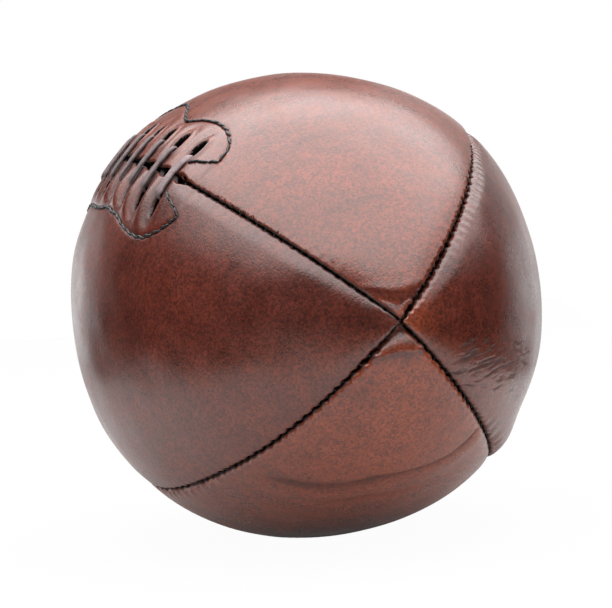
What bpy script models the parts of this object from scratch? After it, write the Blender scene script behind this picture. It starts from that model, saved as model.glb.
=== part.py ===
"""A laced leather football: four sewn panels, a lining, and an inflated rubber bladder with its stopper.

The ball lies along X with its centre at the origin. The front tip points to +X, +Y is to its right, +Z is up.
"""

import math

import bmesh
import bpy
from mathutils import Matrix, Vector

# Driving dimensions of the ball, in metres.
BALL_LENGTH = 0.276
BALL_DIAMETER = 0.184
SEAM_RISE = 0.0008
TIP_HOLE_RADIUS = 0.0022
REST_FLAT_DEPTH = 0.001

# Power of the lengthwise profile: 1 is an ellipse, and 2 would bring the ends to a sharp point.
END_SHARPNESS = 1.22

# Clearances: between pieces that touch, and between loose layers of the cover.
CLEARANCE = 0.0003
LAYER_GAP = 0.0008

# Cover and lining.
LEATHER = 0.0020
CANVAS = 0.0007
SEAM_ROLL = 0.0032
SEAM_FLANGE = 0.0065
SEAM_THREAD = 0.0010
FOLD_RAMP = 0.010
FLAT_PAST_SLIT = 0.005
END_PATCH_RADIUS = 0.012
END_PATCH_THICKNESS = 0.0018

# Lacing.
BAR_COUNT = 9
BAR_PITCH = 0.0144
LACE_WIDTH = 0.0042
LACE_THICKNESS = 0.0018
SLOT_OFFSET = 0.0132
SLOT_LENGTH = 0.0064
SLOT_WIDTH = 0.0034
SLIT_BEYOND_BARS = 0.0035
LACE_TAIL = 0.010

# Share of the lace's width and thickness that is left where a slot squeezes it.
PINCHED_WIDTH = 0.5
PINCHED_THICKNESS = 0.6

# Reinforcing patch each side of the slit, and the line of stitches that holds it.
PATCH_THICKNESS = 0.0016
PATCH_MARGIN = 0.0025
STITCH_THREAD = 0.0008
STITCH_END = 0.015
STITCH_LOBE = 0.027
STITCH_WAIST = 0.0225
STITCH_CORNER = 0.0116
STITCH_START = 0.007
WAIST_BAR = 2

# Tongue under the lacing.
TONGUE_WIDTH = 0.028
TONGUE_THICKNESS = 0.0012
TONGUE_BEYOND_SLIT = 0.005

# Bladder, its filling neck and the stopper.
RUBBER = 0.0008
BLADDER_SLACK = 0.0025
POCKET_DEPTH = 0.021
NECK_DIAMETER = 0.007
NECK_BORE = 0.0046
NECK_HEIGHT = 0.006
NECK_ROOT = -0.030
NECK_BEND = 0.0055
NECK_RUN = 0.032
NECK_INSIDE = 0.003
STOPPER_SHANK = 0.010
STOPPER_HEAD = 0.0030
STOPPER_HEAD_DIAMETER = 0.0068
STOPPER_ROUNDING = 0.001

# Seams in order round the long axis, and the drift of their hand sewing in degrees:
# at the middle of the ball, and added on the way to the front tip.
SEAMS = ("upper_right", "upper_left", "lower_left", "lower_right")
SEAM_DRIFT = {
    "upper_right": (1.3, 1.5),
    "upper_left": (0.7, 2.2),
    "lower_left": (-0.2, 1.1),
    "lower_right": (-2.1, -1.5),
}
PANELS = ("top", "left", "bottom", "right")
LACED_SEAM = SEAMS.index("upper_left")
TOP_PANEL = PANELS.index("top")
LEFT_PANEL = PANELS.index("left")
BOTTOM_PANEL = PANELS.index("bottom")

# Number of faces along and across each kind of piece.
TIP_COLUMNS = 2
END_COLUMNS = 4
SLIT_COLUMNS = 8
PANEL_ROWS = 14
FOLD_ROWS = 3
LINING_STEP = 2
LINING_ROWS = 4
PATCH_COLUMNS = 18
PATCH_ROWS = 3
TONGUE_COLUMNS = 10
TONGUE_ROWS = 4
BLADDER_RINGS = 14
BLADDER_SIDES = 20
SLOT_SIDES = 8
LACE_SIDES = 6
TURNED_SIDES = 16
END_PATCH_RINGS = 4
THREAD_POINTS = 15
STITCH_POINTS = 48
BEND_POINTS = 6
ARC_STEPS = 60

# An angle and a share too small to see, used where a formula has no value at zero.
TINY = 1e-6

# Sizes that follow from those above.
HALF_LENGTH = BALL_LENGTH / 2
RADIUS = BALL_DIAMETER / 2
SEAM_GAP = SEAM_THREAD + 2 * CLEARANCE
SLIT_HALF = BAR_PITCH * (BAR_COUNT - 1) / 2 + SLIT_BEYOND_BARS
STITCH_HALF = SLIT_HALF + STITCH_END
WAIST_AT = BAR_PITCH * ((BAR_COUNT - 1) / 2 - WAIST_BAR)
LINING_DEPTH = LEATHER + LAYER_GAP
PATCH_BOTTOM = LINING_DEPTH + PATCH_THICKNESS
LACE_UNDER = PATCH_BOTTOM + LAYER_GAP + LACE_THICKNESS / 2
LACE_OVER = CLEARANCE + LACE_THICKNESS / 2
TONGUE_DEPTH = LACE_UNDER + LACE_THICKNESS / 2 + LAYER_GAP
TONGUE_BOTTOM = TONGUE_DEPTH + TONGUE_THICKNESS
BLADDER_DEPTH = LINING_DEPTH + CANVAS + BLADDER_SLACK
POCKET_RADIUS = RADIUS - POCKET_DEPTH
NECK_AXIS = POCKET_RADIUS + NECK_HEIGHT
NECK_MOUTH = NECK_ROOT + NECK_BEND + NECK_RUN

# Colours, as linear red, green and blue.
LEATHER_BROWN = (0.075, 0.030, 0.020)
LACE_BROWN = (0.150, 0.095, 0.085)
THREAD_BLACK = (0.012, 0.011, 0.012)
CANVAS_CREAM = (0.560, 0.470, 0.340)
RUBBER_RED = (0.230, 0.050, 0.035)
STOPPER_BUFF = (0.420, 0.260, 0.130)


def smooth(share):
    """Eases from 0 to 1 as the share goes from 0 to 1."""
    share = min(1.0, max(0.0, share))
    return share * share * (3 - 2 * share)


def between(start, end, share):
    return start + (end - start) * share


def profile(turn):
    """Distance along the axis and radius, at an angle from 0 at the front tip to pi at the back tip."""
    return HALF_LENGTH * math.cos(turn), RADIUS * math.sin(turn) ** END_SHARPNESS


def profile_slope(turn):
    """Change of axial distance and radius for a change of the profile's angle."""
    along = -HALF_LENGTH * math.sin(turn)
    outward = RADIUS * END_SHARPNESS * math.sin(turn) ** (END_SHARPNESS - 1) * math.cos(turn)
    return along, outward


def turn_at_radius(radius):
    """The profile's angle where the front half has this radius."""
    return math.asin((radius / RADIUS) ** (1 / END_SHARPNESS))


def turn_at(along):
    """The profile's angle at a distance along the cover from its middle, positive towards the front."""
    turn = math.pi / 2
    for _ in range(ARC_STEPS):
        turn -= along / ARC_STEPS / math.hypot(*profile_slope(turn))
    return turn


def along_at(turn):
    """The distance along the cover from its middle to an angle of the profile."""
    step = (math.pi / 2 - turn) / ARC_STEPS
    middles = (turn + step * (i + 0.5) for i in range(ARC_STEPS))
    return sum(step * math.hypot(*profile_slope(middle)) for middle in middles)


def seam_angle(seam, turn):
    """Angle of a seam round the axis, from +Y towards +Z."""
    at_middle, to_front = SEAM_DRIFT[SEAMS[seam % len(SEAMS)]]
    forward = math.cos(turn)
    drift = at_middle * min(1.0, 1 + forward) + to_front * max(0.0, forward)
    return math.radians(45 + 90 * seam + drift)


def angle_at(turn, place):
    """Angle round the axis of a place counted in panels: 1.5 is midway between seam 1 and seam 2."""
    seam = math.floor(place)
    return between(seam_angle(seam, turn), seam_angle(seam + 1, turn), place - seam)


def panel_width(turn, panel):
    return profile(turn)[1] * (seam_angle(panel + 1, turn) - seam_angle(panel, turn))


def cover(turn, place, height):
    """A point at a height above the cover, measured square to it."""
    axial, radius = profile(turn)
    along, outward = profile_slope(turn)
    length = math.hypot(along, outward)
    height += SEAM_RISE * math.sin(turn) * math.cos(2 * math.pi * place)
    axial += height * outward / length
    radius -= height * along / length
    angle = angle_at(turn, place)
    return Vector((axial, radius * math.cos(angle), radius * math.sin(angle)))


def by_lacing(along, across, height):
    """A point placed by the laced seam: along it from the middle, across it to the left, and its height."""
    turn = turn_at(along)
    panel = LEFT_PANEL if across >= 0 else TOP_PANEL
    return cover(turn, LACED_SEAM + across / panel_width(turn, panel), height)


def bar_places():
    """Where each bar of the lace crosses the seam, from the front."""
    return [BAR_PITCH * ((BAR_COUNT - 1) / 2 - bar) for bar in range(BAR_COUNT)]


def material_named(name, colour, roughness):
    material = bpy.data.materials.new(name)
    material.use_nodes = True
    shader = material.node_tree.nodes["Principled BSDF"]
    shader.inputs["Base Color"].default_value = (*colour, 1)
    shader.inputs["Roughness"].default_value = roughness
    shader.inputs["Metallic"].default_value = 0
    return material


def add(name, data, material=None):
    """A new object, as a part with a material, or as a cutter without one."""
    item = bpy.data.objects.new(name, data)
    if material:
        parts.objects.link(item)
        item.parent = centre
        data.materials.append(material)
    else:
        cutters.objects.link(item)
        item.hide_render = True
        item.display_type = "WIRE"
    return item


def mesh_from(name, form):
    mesh = bpy.data.meshes.new(name)
    form.to_mesh(mesh)
    form.free()
    mesh.shade_smooth()
    mesh.set_sharp_from_angle(angle=math.radians(40))
    return mesh


def cut(item, cutter):
    boolean = item.modifiers.new("Cut by " + cutter.name, "BOOLEAN")
    boolean.operation = "DIFFERENCE"
    boolean.solver = "EXACT"
    boolean.object = cutter


def thicken(item, thickness):
    solidify = item.modifiers.new("Thickness", "SOLIDIFY")
    solidify.thickness = thickness
    solidify.offset = -1
    solidify.use_even_offset = True


def shell(name, columns, rows, point, thickness, material):
    """A grid laid out by point(column, row), facing out of the ball and thickened inwards."""
    form = bmesh.new()
    bmesh.ops.create_grid(form, x_segments=columns, y_segments=rows, size=0.5)
    for vertex in form.verts:
        column = round((vertex.co.x + 0.5) * columns)
        row = round((vertex.co.y + 0.5) * rows)
        vertex.co = point(column, row)
    form.normal_update()
    if sum(face.normal.dot(face.calc_center_median()) for face in form.faces) < 0:
        bmesh.ops.reverse_faces(form, faces=form.faces)
    item = add(name, mesh_from(name, form), material)
    thicken(item, thickness)
    return item


def tube(name, points, diameter, resolution, material=None):
    """A round cord or tube through points, with closed ends."""
    curve = bpy.data.curves.new(name, "CURVE")
    curve.dimensions = "3D"
    curve.bevel_depth = diameter / 2
    curve.bevel_resolution = resolution
    curve.use_fill_caps = True
    spline = curve.splines.new("POLY")
    spline.points.add(len(points) - 1)
    for spline_point, place in zip(spline.points, points):
        spline_point.co = (*place, 1)
    return add(name, curve, material)


def tube_mesh(name, points, diameter, resolution, material=None):
    """The same tube as a welded mesh, which can be cut or can cut."""
    guide = tube("guide", points, diameter, resolution)
    bpy.context.view_layer.update()
    made = guide.evaluated_get(bpy.context.evaluated_depsgraph_get())
    form = bmesh.new()
    form.from_mesh(bpy.data.meshes.new_from_object(made))
    bmesh.ops.remove_doubles(form, verts=form.verts, dist=CLEARANCE / 10)
    bmesh.ops.recalc_face_normals(form, faces=form.faces)
    bpy.data.objects.remove(guide, do_unlink=True)
    return add(name, mesh_from(name, form), material)


def turned(name, outline, material):
    """A piece turned about its own Z, laid along the ball's X. The outline is (radius, z), top to bottom."""
    form = bmesh.new()
    points = [form.verts.new((radius, 0, z)) for radius, z in outline]
    for start, end in zip(points, points[1:]):
        form.edges.new((start, end))
    item = add(name, mesh_from(name, form), material)
    screw = item.modifiers.new("Turn", "SCREW")
    screw.steps = TURNED_SIDES
    screw.render_steps = TURNED_SIDES
    screw.use_merge_vertices = True
    screw.merge_threshold = 0.00001
    item.rotation_euler = (0, math.pi / 2, 0)
    return item


def turned_in(turn, seam):
    """How far the panels' edges are turned in at a seam: 1 where sewn, 0 at the tips and along the slit."""
    sewn = smooth((profile(turn)[1] - END_PATCH_RADIUS - CLEARANCE) / FOLD_RAMP)
    if seam % len(SEAMS) == LACED_SEAM:
        sewn *= smooth((abs(along_at(turn)) - SLIT_HALF - FLAT_PAST_SLIT) / FOLD_RAMP)
    return sewn


def panel_turns():
    """Angles of the profile where a panel has a column, with one at each start and end of a fold."""
    flat_tip = END_PATCH_RADIUS + CLEARANCE
    flat_slit = SLIT_HALF + FLAT_PAST_SLIT
    marks = [
        (turn_at_radius(TIP_HOLE_RADIUS), TIP_COLUMNS),
        (turn_at_radius(flat_tip), 1),
        (turn_at_radius(flat_tip + FOLD_RAMP), END_COLUMNS),
        (turn_at(flat_slit + FOLD_RAMP), 1),
        (turn_at(flat_slit), SLIT_COLUMNS // 2),
        (math.pi / 2, 0),
    ]
    front = []
    for (start, columns), (end, _) in zip(marks, marks[1:]):
        front += [between(start, end, column / columns) for column in range(columns)]
    return front + [math.pi / 2] + [math.pi - turn for turn in reversed(front)]


def panel_point(panel, turn, row):
    """A point of a panel's outer face: an open middle, with a rolled edge and a flange at each seam."""
    width = panel_width(turn, panel)
    roll = min(SEAM_ROLL, (width - SEAM_GAP) / FOLD_ROWS)
    from_edge = min(row, PANEL_ROWS - row)
    at_start = row == from_edge
    if from_edge >= FOLD_ROWS:
        share = (row - FOLD_ROWS) / (PANEL_ROWS - 2 * FOLD_ROWS)
        inset = between(roll, width - SEAM_GAP - roll, share)
        return cover(turn, panel + (SEAM_GAP / 2 + inset) / width, 0)
    fold = turned_in(turn, panel if at_start else panel + 1)
    bend = math.pi / 2 * max(0, from_edge - 1) / (FOLD_ROWS - 1)
    folded = roll * (1 - math.cos(bend))
    inset = between(roll * from_edge / FOLD_ROWS, folded, fold)
    depth = SEAM_FLANGE if from_edge == 0 else roll * (1 - math.sin(bend))
    distance = SEAM_GAP / 2 + inset
    place = distance / width if at_start else 1 - distance / width
    return cover(turn, panel + place, -depth * fold)


def make_panel(panel, material):
    turns = panel_turns()
    return shell(
        "panel_" + PANELS[panel],
        len(turns) - 1,
        PANEL_ROWS,
        lambda column, row: panel_point(panel, turns[column], row),
        LEATHER,
        material,
    )


def make_rest_flat(panel):
    """Presses a flat place into the lowest panel, where the ball rests."""
    form = bmesh.new()
    bmesh.ops.create_cube(form, size=RADIUS)
    cutter = add("rest_flat_cutter", mesh_from("rest_flat_cutter", form))
    cutter.location.z = -(RADIUS - SEAM_RISE - REST_FLAT_DEPTH) - RADIUS / 2
    cut(panel, cutter)


def make_slot_cutter(name, side):
    """Oval cutters for one row of lace slots, square to the cover."""
    form = bmesh.new()
    height = 4 * (PATCH_BOTTOM + LAYER_GAP)
    for along in bar_places():
        middle = by_lacing(along, side * SLOT_OFFSET, 0)
        outward = (by_lacing(along, side * SLOT_OFFSET, height) - middle).normalized()
        across = (by_lacing(along, side * (SLOT_OFFSET + SLOT_LENGTH), 0) - middle).normalized()
        forward = across.cross(outward).normalized()
        across = outward.cross(forward)
        frame = Matrix((across, forward, outward)).transposed().to_4x4()
        size = Matrix.Diagonal((SLOT_LENGTH, SLOT_WIDTH, height, 1))
        bmesh.ops.create_cone(
            form,
            cap_ends=True,
            segments=SLOT_SIDES,
            radius1=0.5,
            radius2=0.5,
            depth=1,
            matrix=Matrix.Translation(middle) @ frame @ size,
        )
    bmesh.ops.recalc_face_normals(form, faces=form.faces)
    return add(name, mesh_from(name, form))


def lining_inset(turn, seam):
    """Distance of the lining's edge from a seam, which clears the flange or, by the lacing, the patch."""
    inset = SEAM_GAP / 2 + SEAM_ROLL + LAYER_GAP
    if seam % len(SEAMS) == LACED_SEAM:
        wide = STITCH_LOBE + PATCH_MARGIN + LAYER_GAP
        past_patch = abs(along_at(turn)) - STITCH_HALF - PATCH_MARGIN - LAYER_GAP
        inset = between(wide, inset, smooth(past_patch / wide))
    return inset


def lining_point(panel, turn, row):
    width = panel_width(turn, panel)
    start = lining_inset(turn, panel)
    end = width - lining_inset(turn, panel + 1)
    return cover(turn, panel + between(start, end, row / LINING_ROWS) / width, -LINING_DEPTH)


def make_lining(panel, material):
    """The lining's columns lie under those of its panel, so that the two never cross."""
    turns = panel_turns()[TIP_COLUMNS:-TIP_COLUMNS:LINING_STEP]
    shell(
        "lining_" + PANELS[panel],
        len(turns) - 1,
        LINING_ROWS,
        lambda column, row: lining_point(panel, turns[column], row),
        CANVAS,
        material,
    )


def make_seam_thread(name, seam, first, last, material):
    """The thread in one seam, between two angles of the profile."""
    turns = [between(first, last, i / (THREAD_POINTS - 1)) for i in range(THREAD_POINTS)]
    points = [cover(turn, seam, -SEAM_ROLL - SEAM_THREAD / 2) for turn in turns]
    tube(name, points, SEAM_THREAD, 1, material)


def make_seam_threads(material):
    first = turn_at_radius(END_PATCH_RADIUS + FOLD_RAMP)
    slit_end = turn_at(SLIT_HALF + FLAT_PAST_SLIT + FOLD_RAMP)
    for seam, side in enumerate(SEAMS):
        name = "seam_thread_" + side
        if seam == LACED_SEAM:
            make_seam_thread(name + "_front", seam, first, slit_end, material)
            make_seam_thread(name + "_back", seam, math.pi - slit_end, math.pi - first, material)
        else:
            make_seam_thread(name, seam, first, math.pi - first, material)


def stitch_distance(along):
    """Distance of the patch's stitches from the seam: three lobes, the end ones drawn in to a corner."""
    along = abs(along)
    lobe = (WAIST_AT + STITCH_HALF) / 2
    if along <= WAIST_AT:
        return between(STITCH_WAIST, STITCH_LOBE, math.cos(math.pi / 2 * along / WAIST_AT))
    if along <= lobe:
        share = (lobe - along) / (lobe - WAIST_AT)
        return between(STITCH_WAIST, STITCH_LOBE, math.cos(math.pi / 2 * share))
    share = (along - lobe) / (STITCH_HALF - lobe)
    return between(STITCH_CORNER, STITCH_LOBE, math.cos(math.pi / 2 * share))


def patch_point(side, column, row):
    share = 2 * column / PATCH_COLUMNS - 1
    inner = (share * SLIT_HALF, SEAM_GAP / 2 + LAYER_GAP)
    outer = (share * (STITCH_HALF + PATCH_MARGIN), stitch_distance(share * STITCH_HALF) + PATCH_MARGIN)
    along = between(inner[0], outer[0], row / PATCH_ROWS)
    across = between(inner[1], outer[1], row / PATCH_ROWS)
    return by_lacing(along, side * across, -LINING_DEPTH)


def make_patch(name, side, slots, material):
    patch = shell(
        name,
        PATCH_COLUMNS,
        PATCH_ROWS,
        lambda column, row: patch_point(side, column, row),
        PATCH_THICKNESS,
        material,
    )
    cut(patch, slots)


def make_patch_stitching(name, side, material):
    """One thread along the patch's outline, from beside one end of the slit to the other."""
    start = SLIT_HALF + STITCH_THREAD
    route = [(start, STITCH_START)]
    for i in range(STITCH_POINTS + 1):
        along = STITCH_HALF * (1 - 2 * i / STITCH_POINTS)
        route.append((along, stitch_distance(along)))
    route.append((-start, STITCH_START))
    height = STITCH_THREAD / 2 + CLEARANCE
    points = [by_lacing(along, side * across, height) for along, across in route]
    tube(name, points, STITCH_THREAD, 0, material)


def slot_passage():
    """The lace's way up through a slot: distance from the seam, height, and how far it is squeezed."""
    step = LACE_THICKNESS * 2 / 3
    hole = SLOT_OFFSET - step
    return [
        (hole - 3 * step, -LACE_UNDER, 0.0),
        (hole - step, -LACE_UNDER + CLEARANCE, 0.7),
        (hole, -(LEATHER + PATCH_BOTTOM) / 2, 1.0),
        (hole, -LEATHER / 2, 1.0),
        (hole - step / 2, LACE_OVER - step / 2, 0.8),
        (hole - 2 * step, LACE_OVER, 0.0),
    ]


def lace_route():
    """The lace's stations, spiralling through both rows of slots: along, across, height, how far squeezed."""
    passage = slot_passage()
    inner = passage[0][0]
    places = bar_places()
    route = [(places[0] + LACE_TAIL, -inner, -LACE_UNDER, 0.0)]
    for bar, along in enumerate(places):
        route += [(along, -across, height, squeeze) for across, height, squeeze in passage]
        route += [(along, across, LACE_OVER, 0.0) for across in (-inner / 2, 0, inner / 2)]
        route += [(along, across, height, squeeze) for across, height, squeeze in reversed(passage)]
        if bar + 1 < BAR_COUNT:
            for share in (1 / 3, 2 / 3):
                crossing = between(along, places[bar + 1], share)
                route.append((crossing, between(inner, -inner, share), -LACE_UNDER, 0.0))
    route.append((places[-1] - LACE_TAIL, inner, -LACE_UNDER, 0.0))
    return route


def lace_ring(route, index, middles):
    """The lace's oval section at a station, its width lying along the seam."""
    along, across, height, squeeze = route[index]
    half_width = LACE_WIDTH / 2 * between(1.0, PINCHED_WIDTH, squeeze)
    half_thickness = LACE_THICKNESS / 2 * between(1.0, PINCHED_THICKNESS, squeeze)
    ahead = middles[min(index + 1, len(middles) - 1)] - middles[max(index - 1, 0)]
    ahead.normalize()
    forward = by_lacing(along + LACE_WIDTH, across, height) - by_lacing(along - LACE_WIDTH, across, height)
    flat = (forward - ahead * forward.dot(ahead)).normalized()
    if index in (0, len(route) - 1):
        flat = ahead.cross(middles[index]).normalized()
    up = ahead.cross(flat)
    ring = []
    for side in range(LACE_SIDES):
        angle = 2 * math.pi * side / LACE_SIDES
        sideways = flat * (half_width * math.cos(angle))
        ring.append(middles[index] + sideways + up * (half_thickness * math.sin(angle)))
    return ring


def least_gap(middles):
    """Least distance between two turns of the lace, less the lace's own width."""
    apart = len(slot_passage())
    distances = []
    for i, first in enumerate(middles):
        distances += [(first - second).length for second in middles[i + apart:]]
    return min(distances) - LACE_WIDTH


def make_lace(material):
    """One flat thong lofted along its route, with closed ends."""
    route = lace_route()
    middles = [by_lacing(*station[:3]) for station in route]
    form = bmesh.new()
    rings = []
    for index in range(len(route)):
        rings.append([form.verts.new(point) for point in lace_ring(route, index, middles)])
    for ring, following in zip(rings, rings[1:]):
        for side in range(LACE_SIDES):
            after = (side + 1) % LACE_SIDES
            form.faces.new((ring[side], ring[after], following[after], following[side]))
    form.faces.new(rings[0])
    form.faces.new(rings[-1])
    bmesh.ops.recalc_face_normals(form, faces=form.faces)
    add("lace", mesh_from("lace", form), material)
    print(f"least gap between turns of the lace: {least_gap(middles) * 1000:.2f} mm")


def make_tongue(material):
    half_length = SLIT_HALF + TONGUE_BEYOND_SLIT

    def point(column, row):
        along = half_length * (2 * column / TONGUE_COLUMNS - 1)
        across = TONGUE_WIDTH * (row / TONGUE_ROWS - 0.5)
        return by_lacing(along, across, -TONGUE_DEPTH)

    shell("tongue", TONGUE_COLUMNS, TONGUE_ROWS, point, TONGUE_THICKNESS, material)


def end_patch_outline():
    """Half section of the disc behind the tips of the panels, as (radius, distance along the axis)."""
    shares = [max(TINY, ring / END_PATCH_RINGS) for ring in range(END_PATCH_RINGS + 1)]
    turns = [turn_at_radius(END_PATCH_RADIUS * share) for share in shares]
    outer = [cover(turn, 0.25, -LINING_DEPTH) for turn in turns]
    inner = [cover(turn, 0.25, -LINING_DEPTH - END_PATCH_THICKNESS) for turn in reversed(turns)]
    outline = [(math.hypot(point.y, point.z), point.x) for point in outer + inner]
    return [(0, outline[0][1])] + outline[1:-1] + [(0, outline[-1][1])]


def make_end_patches(material):
    turned("end_patch_front", end_patch_outline(), material)
    back = turned("end_patch_back", end_patch_outline(), material)
    back.rotation_euler = (0, -math.pi / 2, 0)


def bladder_depth(turn, place):
    """Depth of the bladder below the cover: grooved under the seams, with a pocket under the lacing."""
    nearest = round(place)
    on_seam = abs(place - nearest) < 0.5 / BLADDER_SIDES
    by_slit = abs(along_at(turn)) < STITCH_HALF + PATCH_MARGIN + TONGUE_WIDTH
    if on_seam and nearest % len(SEAMS) == LACED_SEAM and by_slit:
        return max(SEAM_FLANGE + 2 * LAYER_GAP, profile(turn)[1] - POCKET_RADIUS, TONGUE_BOTTOM + LAYER_GAP)
    if on_seam:
        return SEAM_FLANGE + 2 * LAYER_GAP
    if abs(place - LACED_SEAM) < 1.5 * len(SEAMS) / BLADDER_SIDES and by_slit:
        return max(BLADDER_DEPTH, TONGUE_BOTTOM + LAYER_GAP)
    return BLADDER_DEPTH


def by_neck(axial, radius):
    """A point in the plane of the ball's axis and the middle of the lacing."""
    angle = seam_angle(LACED_SEAM, math.pi / 2)
    return Vector((axial, radius * math.cos(angle), radius * math.sin(angle)))


def make_bladder(material):
    form = bmesh.new()
    bmesh.ops.create_uvsphere(form, u_segments=BLADDER_SIDES, v_segments=BLADDER_RINGS, radius=1)
    for vertex in form.verts:
        from_axis = math.hypot(vertex.co.x, vertex.co.y)
        turn = min(math.pi - TINY, max(TINY, math.atan2(from_axis, vertex.co.z)))
        place = math.atan2(vertex.co.y, vertex.co.x) / (math.pi / 2) % len(SEAMS)
        depth = BLADDER_DEPTH if from_axis < TINY else bladder_depth(turn, place)
        vertex.co = cover(turn, place, -depth)
    form.normal_update()
    if form.calc_volume(signed=True) < 0:
        bmesh.ops.reverse_faces(form, faces=form.faces)
    bladder = add("bladder", mesh_from("bladder", form), material)
    thicken(bladder, RUBBER)
    reach = NECK_BEND + NECK_HEIGHT
    ends = [by_neck(NECK_ROOT, POCKET_RADIUS - reach), by_neck(NECK_ROOT, POCKET_RADIUS + reach)]
    cut(bladder, tube_mesh("neck_hole_cutter", ends, NECK_DIAMETER + 2 * CLEARANCE, 3))


def neck_route(past_root, past_mouth):
    """Middle line of the neck: out through the bladder's wall, round a bend, then along the slit."""
    points = [by_neck(NECK_ROOT, POCKET_RADIUS - NECK_INSIDE - past_root)]
    for i in range(BEND_POINTS + 1):
        bend = math.pi / 2 * i / BEND_POINTS
        axial = NECK_ROOT + NECK_BEND * (1 - math.cos(bend))
        points.append(by_neck(axial, NECK_AXIS - NECK_BEND * (1 - math.sin(bend))))
    points.append(by_neck(NECK_MOUTH + past_mouth, NECK_AXIS))
    return points


def make_neck(material):
    neck = tube_mesh("bladder_neck", neck_route(0, 0), NECK_DIAMETER, 4, material)
    bore = tube_mesh("neck_bore_cutter", neck_route(NECK_BORE, NECK_BORE), NECK_BORE, 4)
    cut(neck, bore)


def make_stopper(material):
    """A turned plug in the neck's mouth. Its own Z is the line that it slides along."""
    shank = NECK_BORE / 2 - CLEARANCE
    head = STOPPER_HEAD_DIAMETER / 2
    outline = [
        (0, CLEARANCE + STOPPER_HEAD),
        (head - STOPPER_ROUNDING, CLEARANCE + STOPPER_HEAD),
        (head, CLEARANCE + STOPPER_HEAD - STOPPER_ROUNDING),
        (head, CLEARANCE),
        (shank, CLEARANCE),
        (shank, STOPPER_ROUNDING - STOPPER_SHANK),
        (shank - STOPPER_ROUNDING, -STOPPER_SHANK),
        (0, -STOPPER_SHANK),
    ]
    stopper = turned("neck_stopper", outline, material)
    stopper.location = by_neck(NECK_MOUTH, NECK_AXIS)


for old in list(bpy.data.objects):
    bpy.data.objects.remove(old, do_unlink=True)

parts = bpy.data.collections.new("american_football")
cutters = bpy.data.collections.new("cutters")
for collection in (parts, cutters):
    bpy.context.scene.collection.children.link(collection)
cutters.hide_render = True
centre = bpy.data.objects.new("ball_centre", None)
parts.objects.link(centre)

leather = material_named("leather", LEATHER_BROWN, 0.45)
lace_leather = material_named("lace_leather", LACE_BROWN, 0.6)
black_thread = material_named("black_thread", THREAD_BLACK, 0.7)
canvas = material_named("canvas", CANVAS_CREAM, 0.9)
rubber = material_named("rubber", RUBBER_RED, 0.6)
stopper_wood = material_named("stopper_wood", STOPPER_BUFF, 0.5)

top_slots = make_slot_cutter("top_slot_cutter", -1)
left_slots = make_slot_cutter("left_slot_cutter", 1)
panels = [make_panel(panel, leather) for panel in range(len(PANELS))]
cut(panels[TOP_PANEL], top_slots)
cut(panels[LEFT_PANEL], left_slots)
make_rest_flat(panels[BOTTOM_PANEL])
for panel in range(len(PANELS)):
    make_lining(panel, canvas)
make_seam_threads(black_thread)
make_patch("lace_patch_top", -1, top_slots, leather)
make_patch("lace_patch_left", 1, left_slots, leather)
make_patch_stitching("patch_stitching_top", -1, black_thread)
make_patch_stitching("patch_stitching_left", 1, black_thread)
make_lace(lace_leather)
make_tongue(leather)
make_end_patches(leather)
make_bladder(rubber)
make_neck(rubber)
make_stopper(stopper_wood)
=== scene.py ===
"""Looks of a laced leather football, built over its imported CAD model.

Units are metres. The ball lies along X with its front tip at +X, +Y to its right and +Z up.
"""

import math

import bmesh
import bpy
import numpy as np
from mathutils import Matrix, Vector


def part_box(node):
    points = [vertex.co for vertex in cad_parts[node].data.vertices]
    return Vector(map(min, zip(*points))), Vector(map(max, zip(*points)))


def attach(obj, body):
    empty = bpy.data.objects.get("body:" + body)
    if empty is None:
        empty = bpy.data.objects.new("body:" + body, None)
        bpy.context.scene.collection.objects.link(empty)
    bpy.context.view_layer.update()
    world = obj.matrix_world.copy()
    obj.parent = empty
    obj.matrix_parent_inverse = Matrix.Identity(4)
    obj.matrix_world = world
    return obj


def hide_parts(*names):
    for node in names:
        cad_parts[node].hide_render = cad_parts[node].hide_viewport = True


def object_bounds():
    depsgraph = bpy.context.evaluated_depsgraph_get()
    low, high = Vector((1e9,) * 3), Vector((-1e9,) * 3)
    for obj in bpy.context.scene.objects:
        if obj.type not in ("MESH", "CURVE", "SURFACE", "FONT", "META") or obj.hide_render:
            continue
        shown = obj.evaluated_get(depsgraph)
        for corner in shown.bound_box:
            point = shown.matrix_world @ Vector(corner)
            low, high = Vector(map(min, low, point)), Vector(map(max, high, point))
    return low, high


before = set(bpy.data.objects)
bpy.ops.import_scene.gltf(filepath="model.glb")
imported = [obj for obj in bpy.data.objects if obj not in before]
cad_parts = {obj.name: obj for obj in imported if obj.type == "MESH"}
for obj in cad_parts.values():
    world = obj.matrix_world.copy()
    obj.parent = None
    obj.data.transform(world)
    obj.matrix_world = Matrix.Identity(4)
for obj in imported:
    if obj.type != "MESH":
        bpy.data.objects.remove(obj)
cad_low, cad_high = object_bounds()

# Sizes shared with the CAD model.
BALL_LENGTH = 0.276
BALL_DIAMETER = 0.184
SEAM_RISE = 0.0008
END_SHARPNESS = 1.22
LEATHER = 0.0020
SEAM_ROLL = 0.0032
SEAM_FLANGE = 0.0065
SEAM_GAP = 0.0016
CANVAS = 0.0007
FOLD_RAMP = 0.010
FLAT_PAST_SLIT = 0.005
END_PATCH_RADIUS = 0.012
END_PATCH_THICKNESS = 0.0018
BAR_COUNT = 9
BAR_PITCH = 0.0144
LACE_WIDTH = 0.0042
LACE_THICKNESS = 0.0018
SLOT_OFFSET = 0.0132
SLIT_BEYOND_BARS = 0.0035
LACE_TAIL = 0.010
LINING_DEPTH = 0.0028
PATCH_THICKNESS = 0.0016
PATCH_MARGIN = 0.0025
TONGUE_WIDTH = 0.028
TONGUE_THICKNESS = 0.0012
TONGUE_BEYOND_SLIT = 0.005
BLADDER_SLACK = 0.0025
POCKET_DEPTH = 0.021
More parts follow.
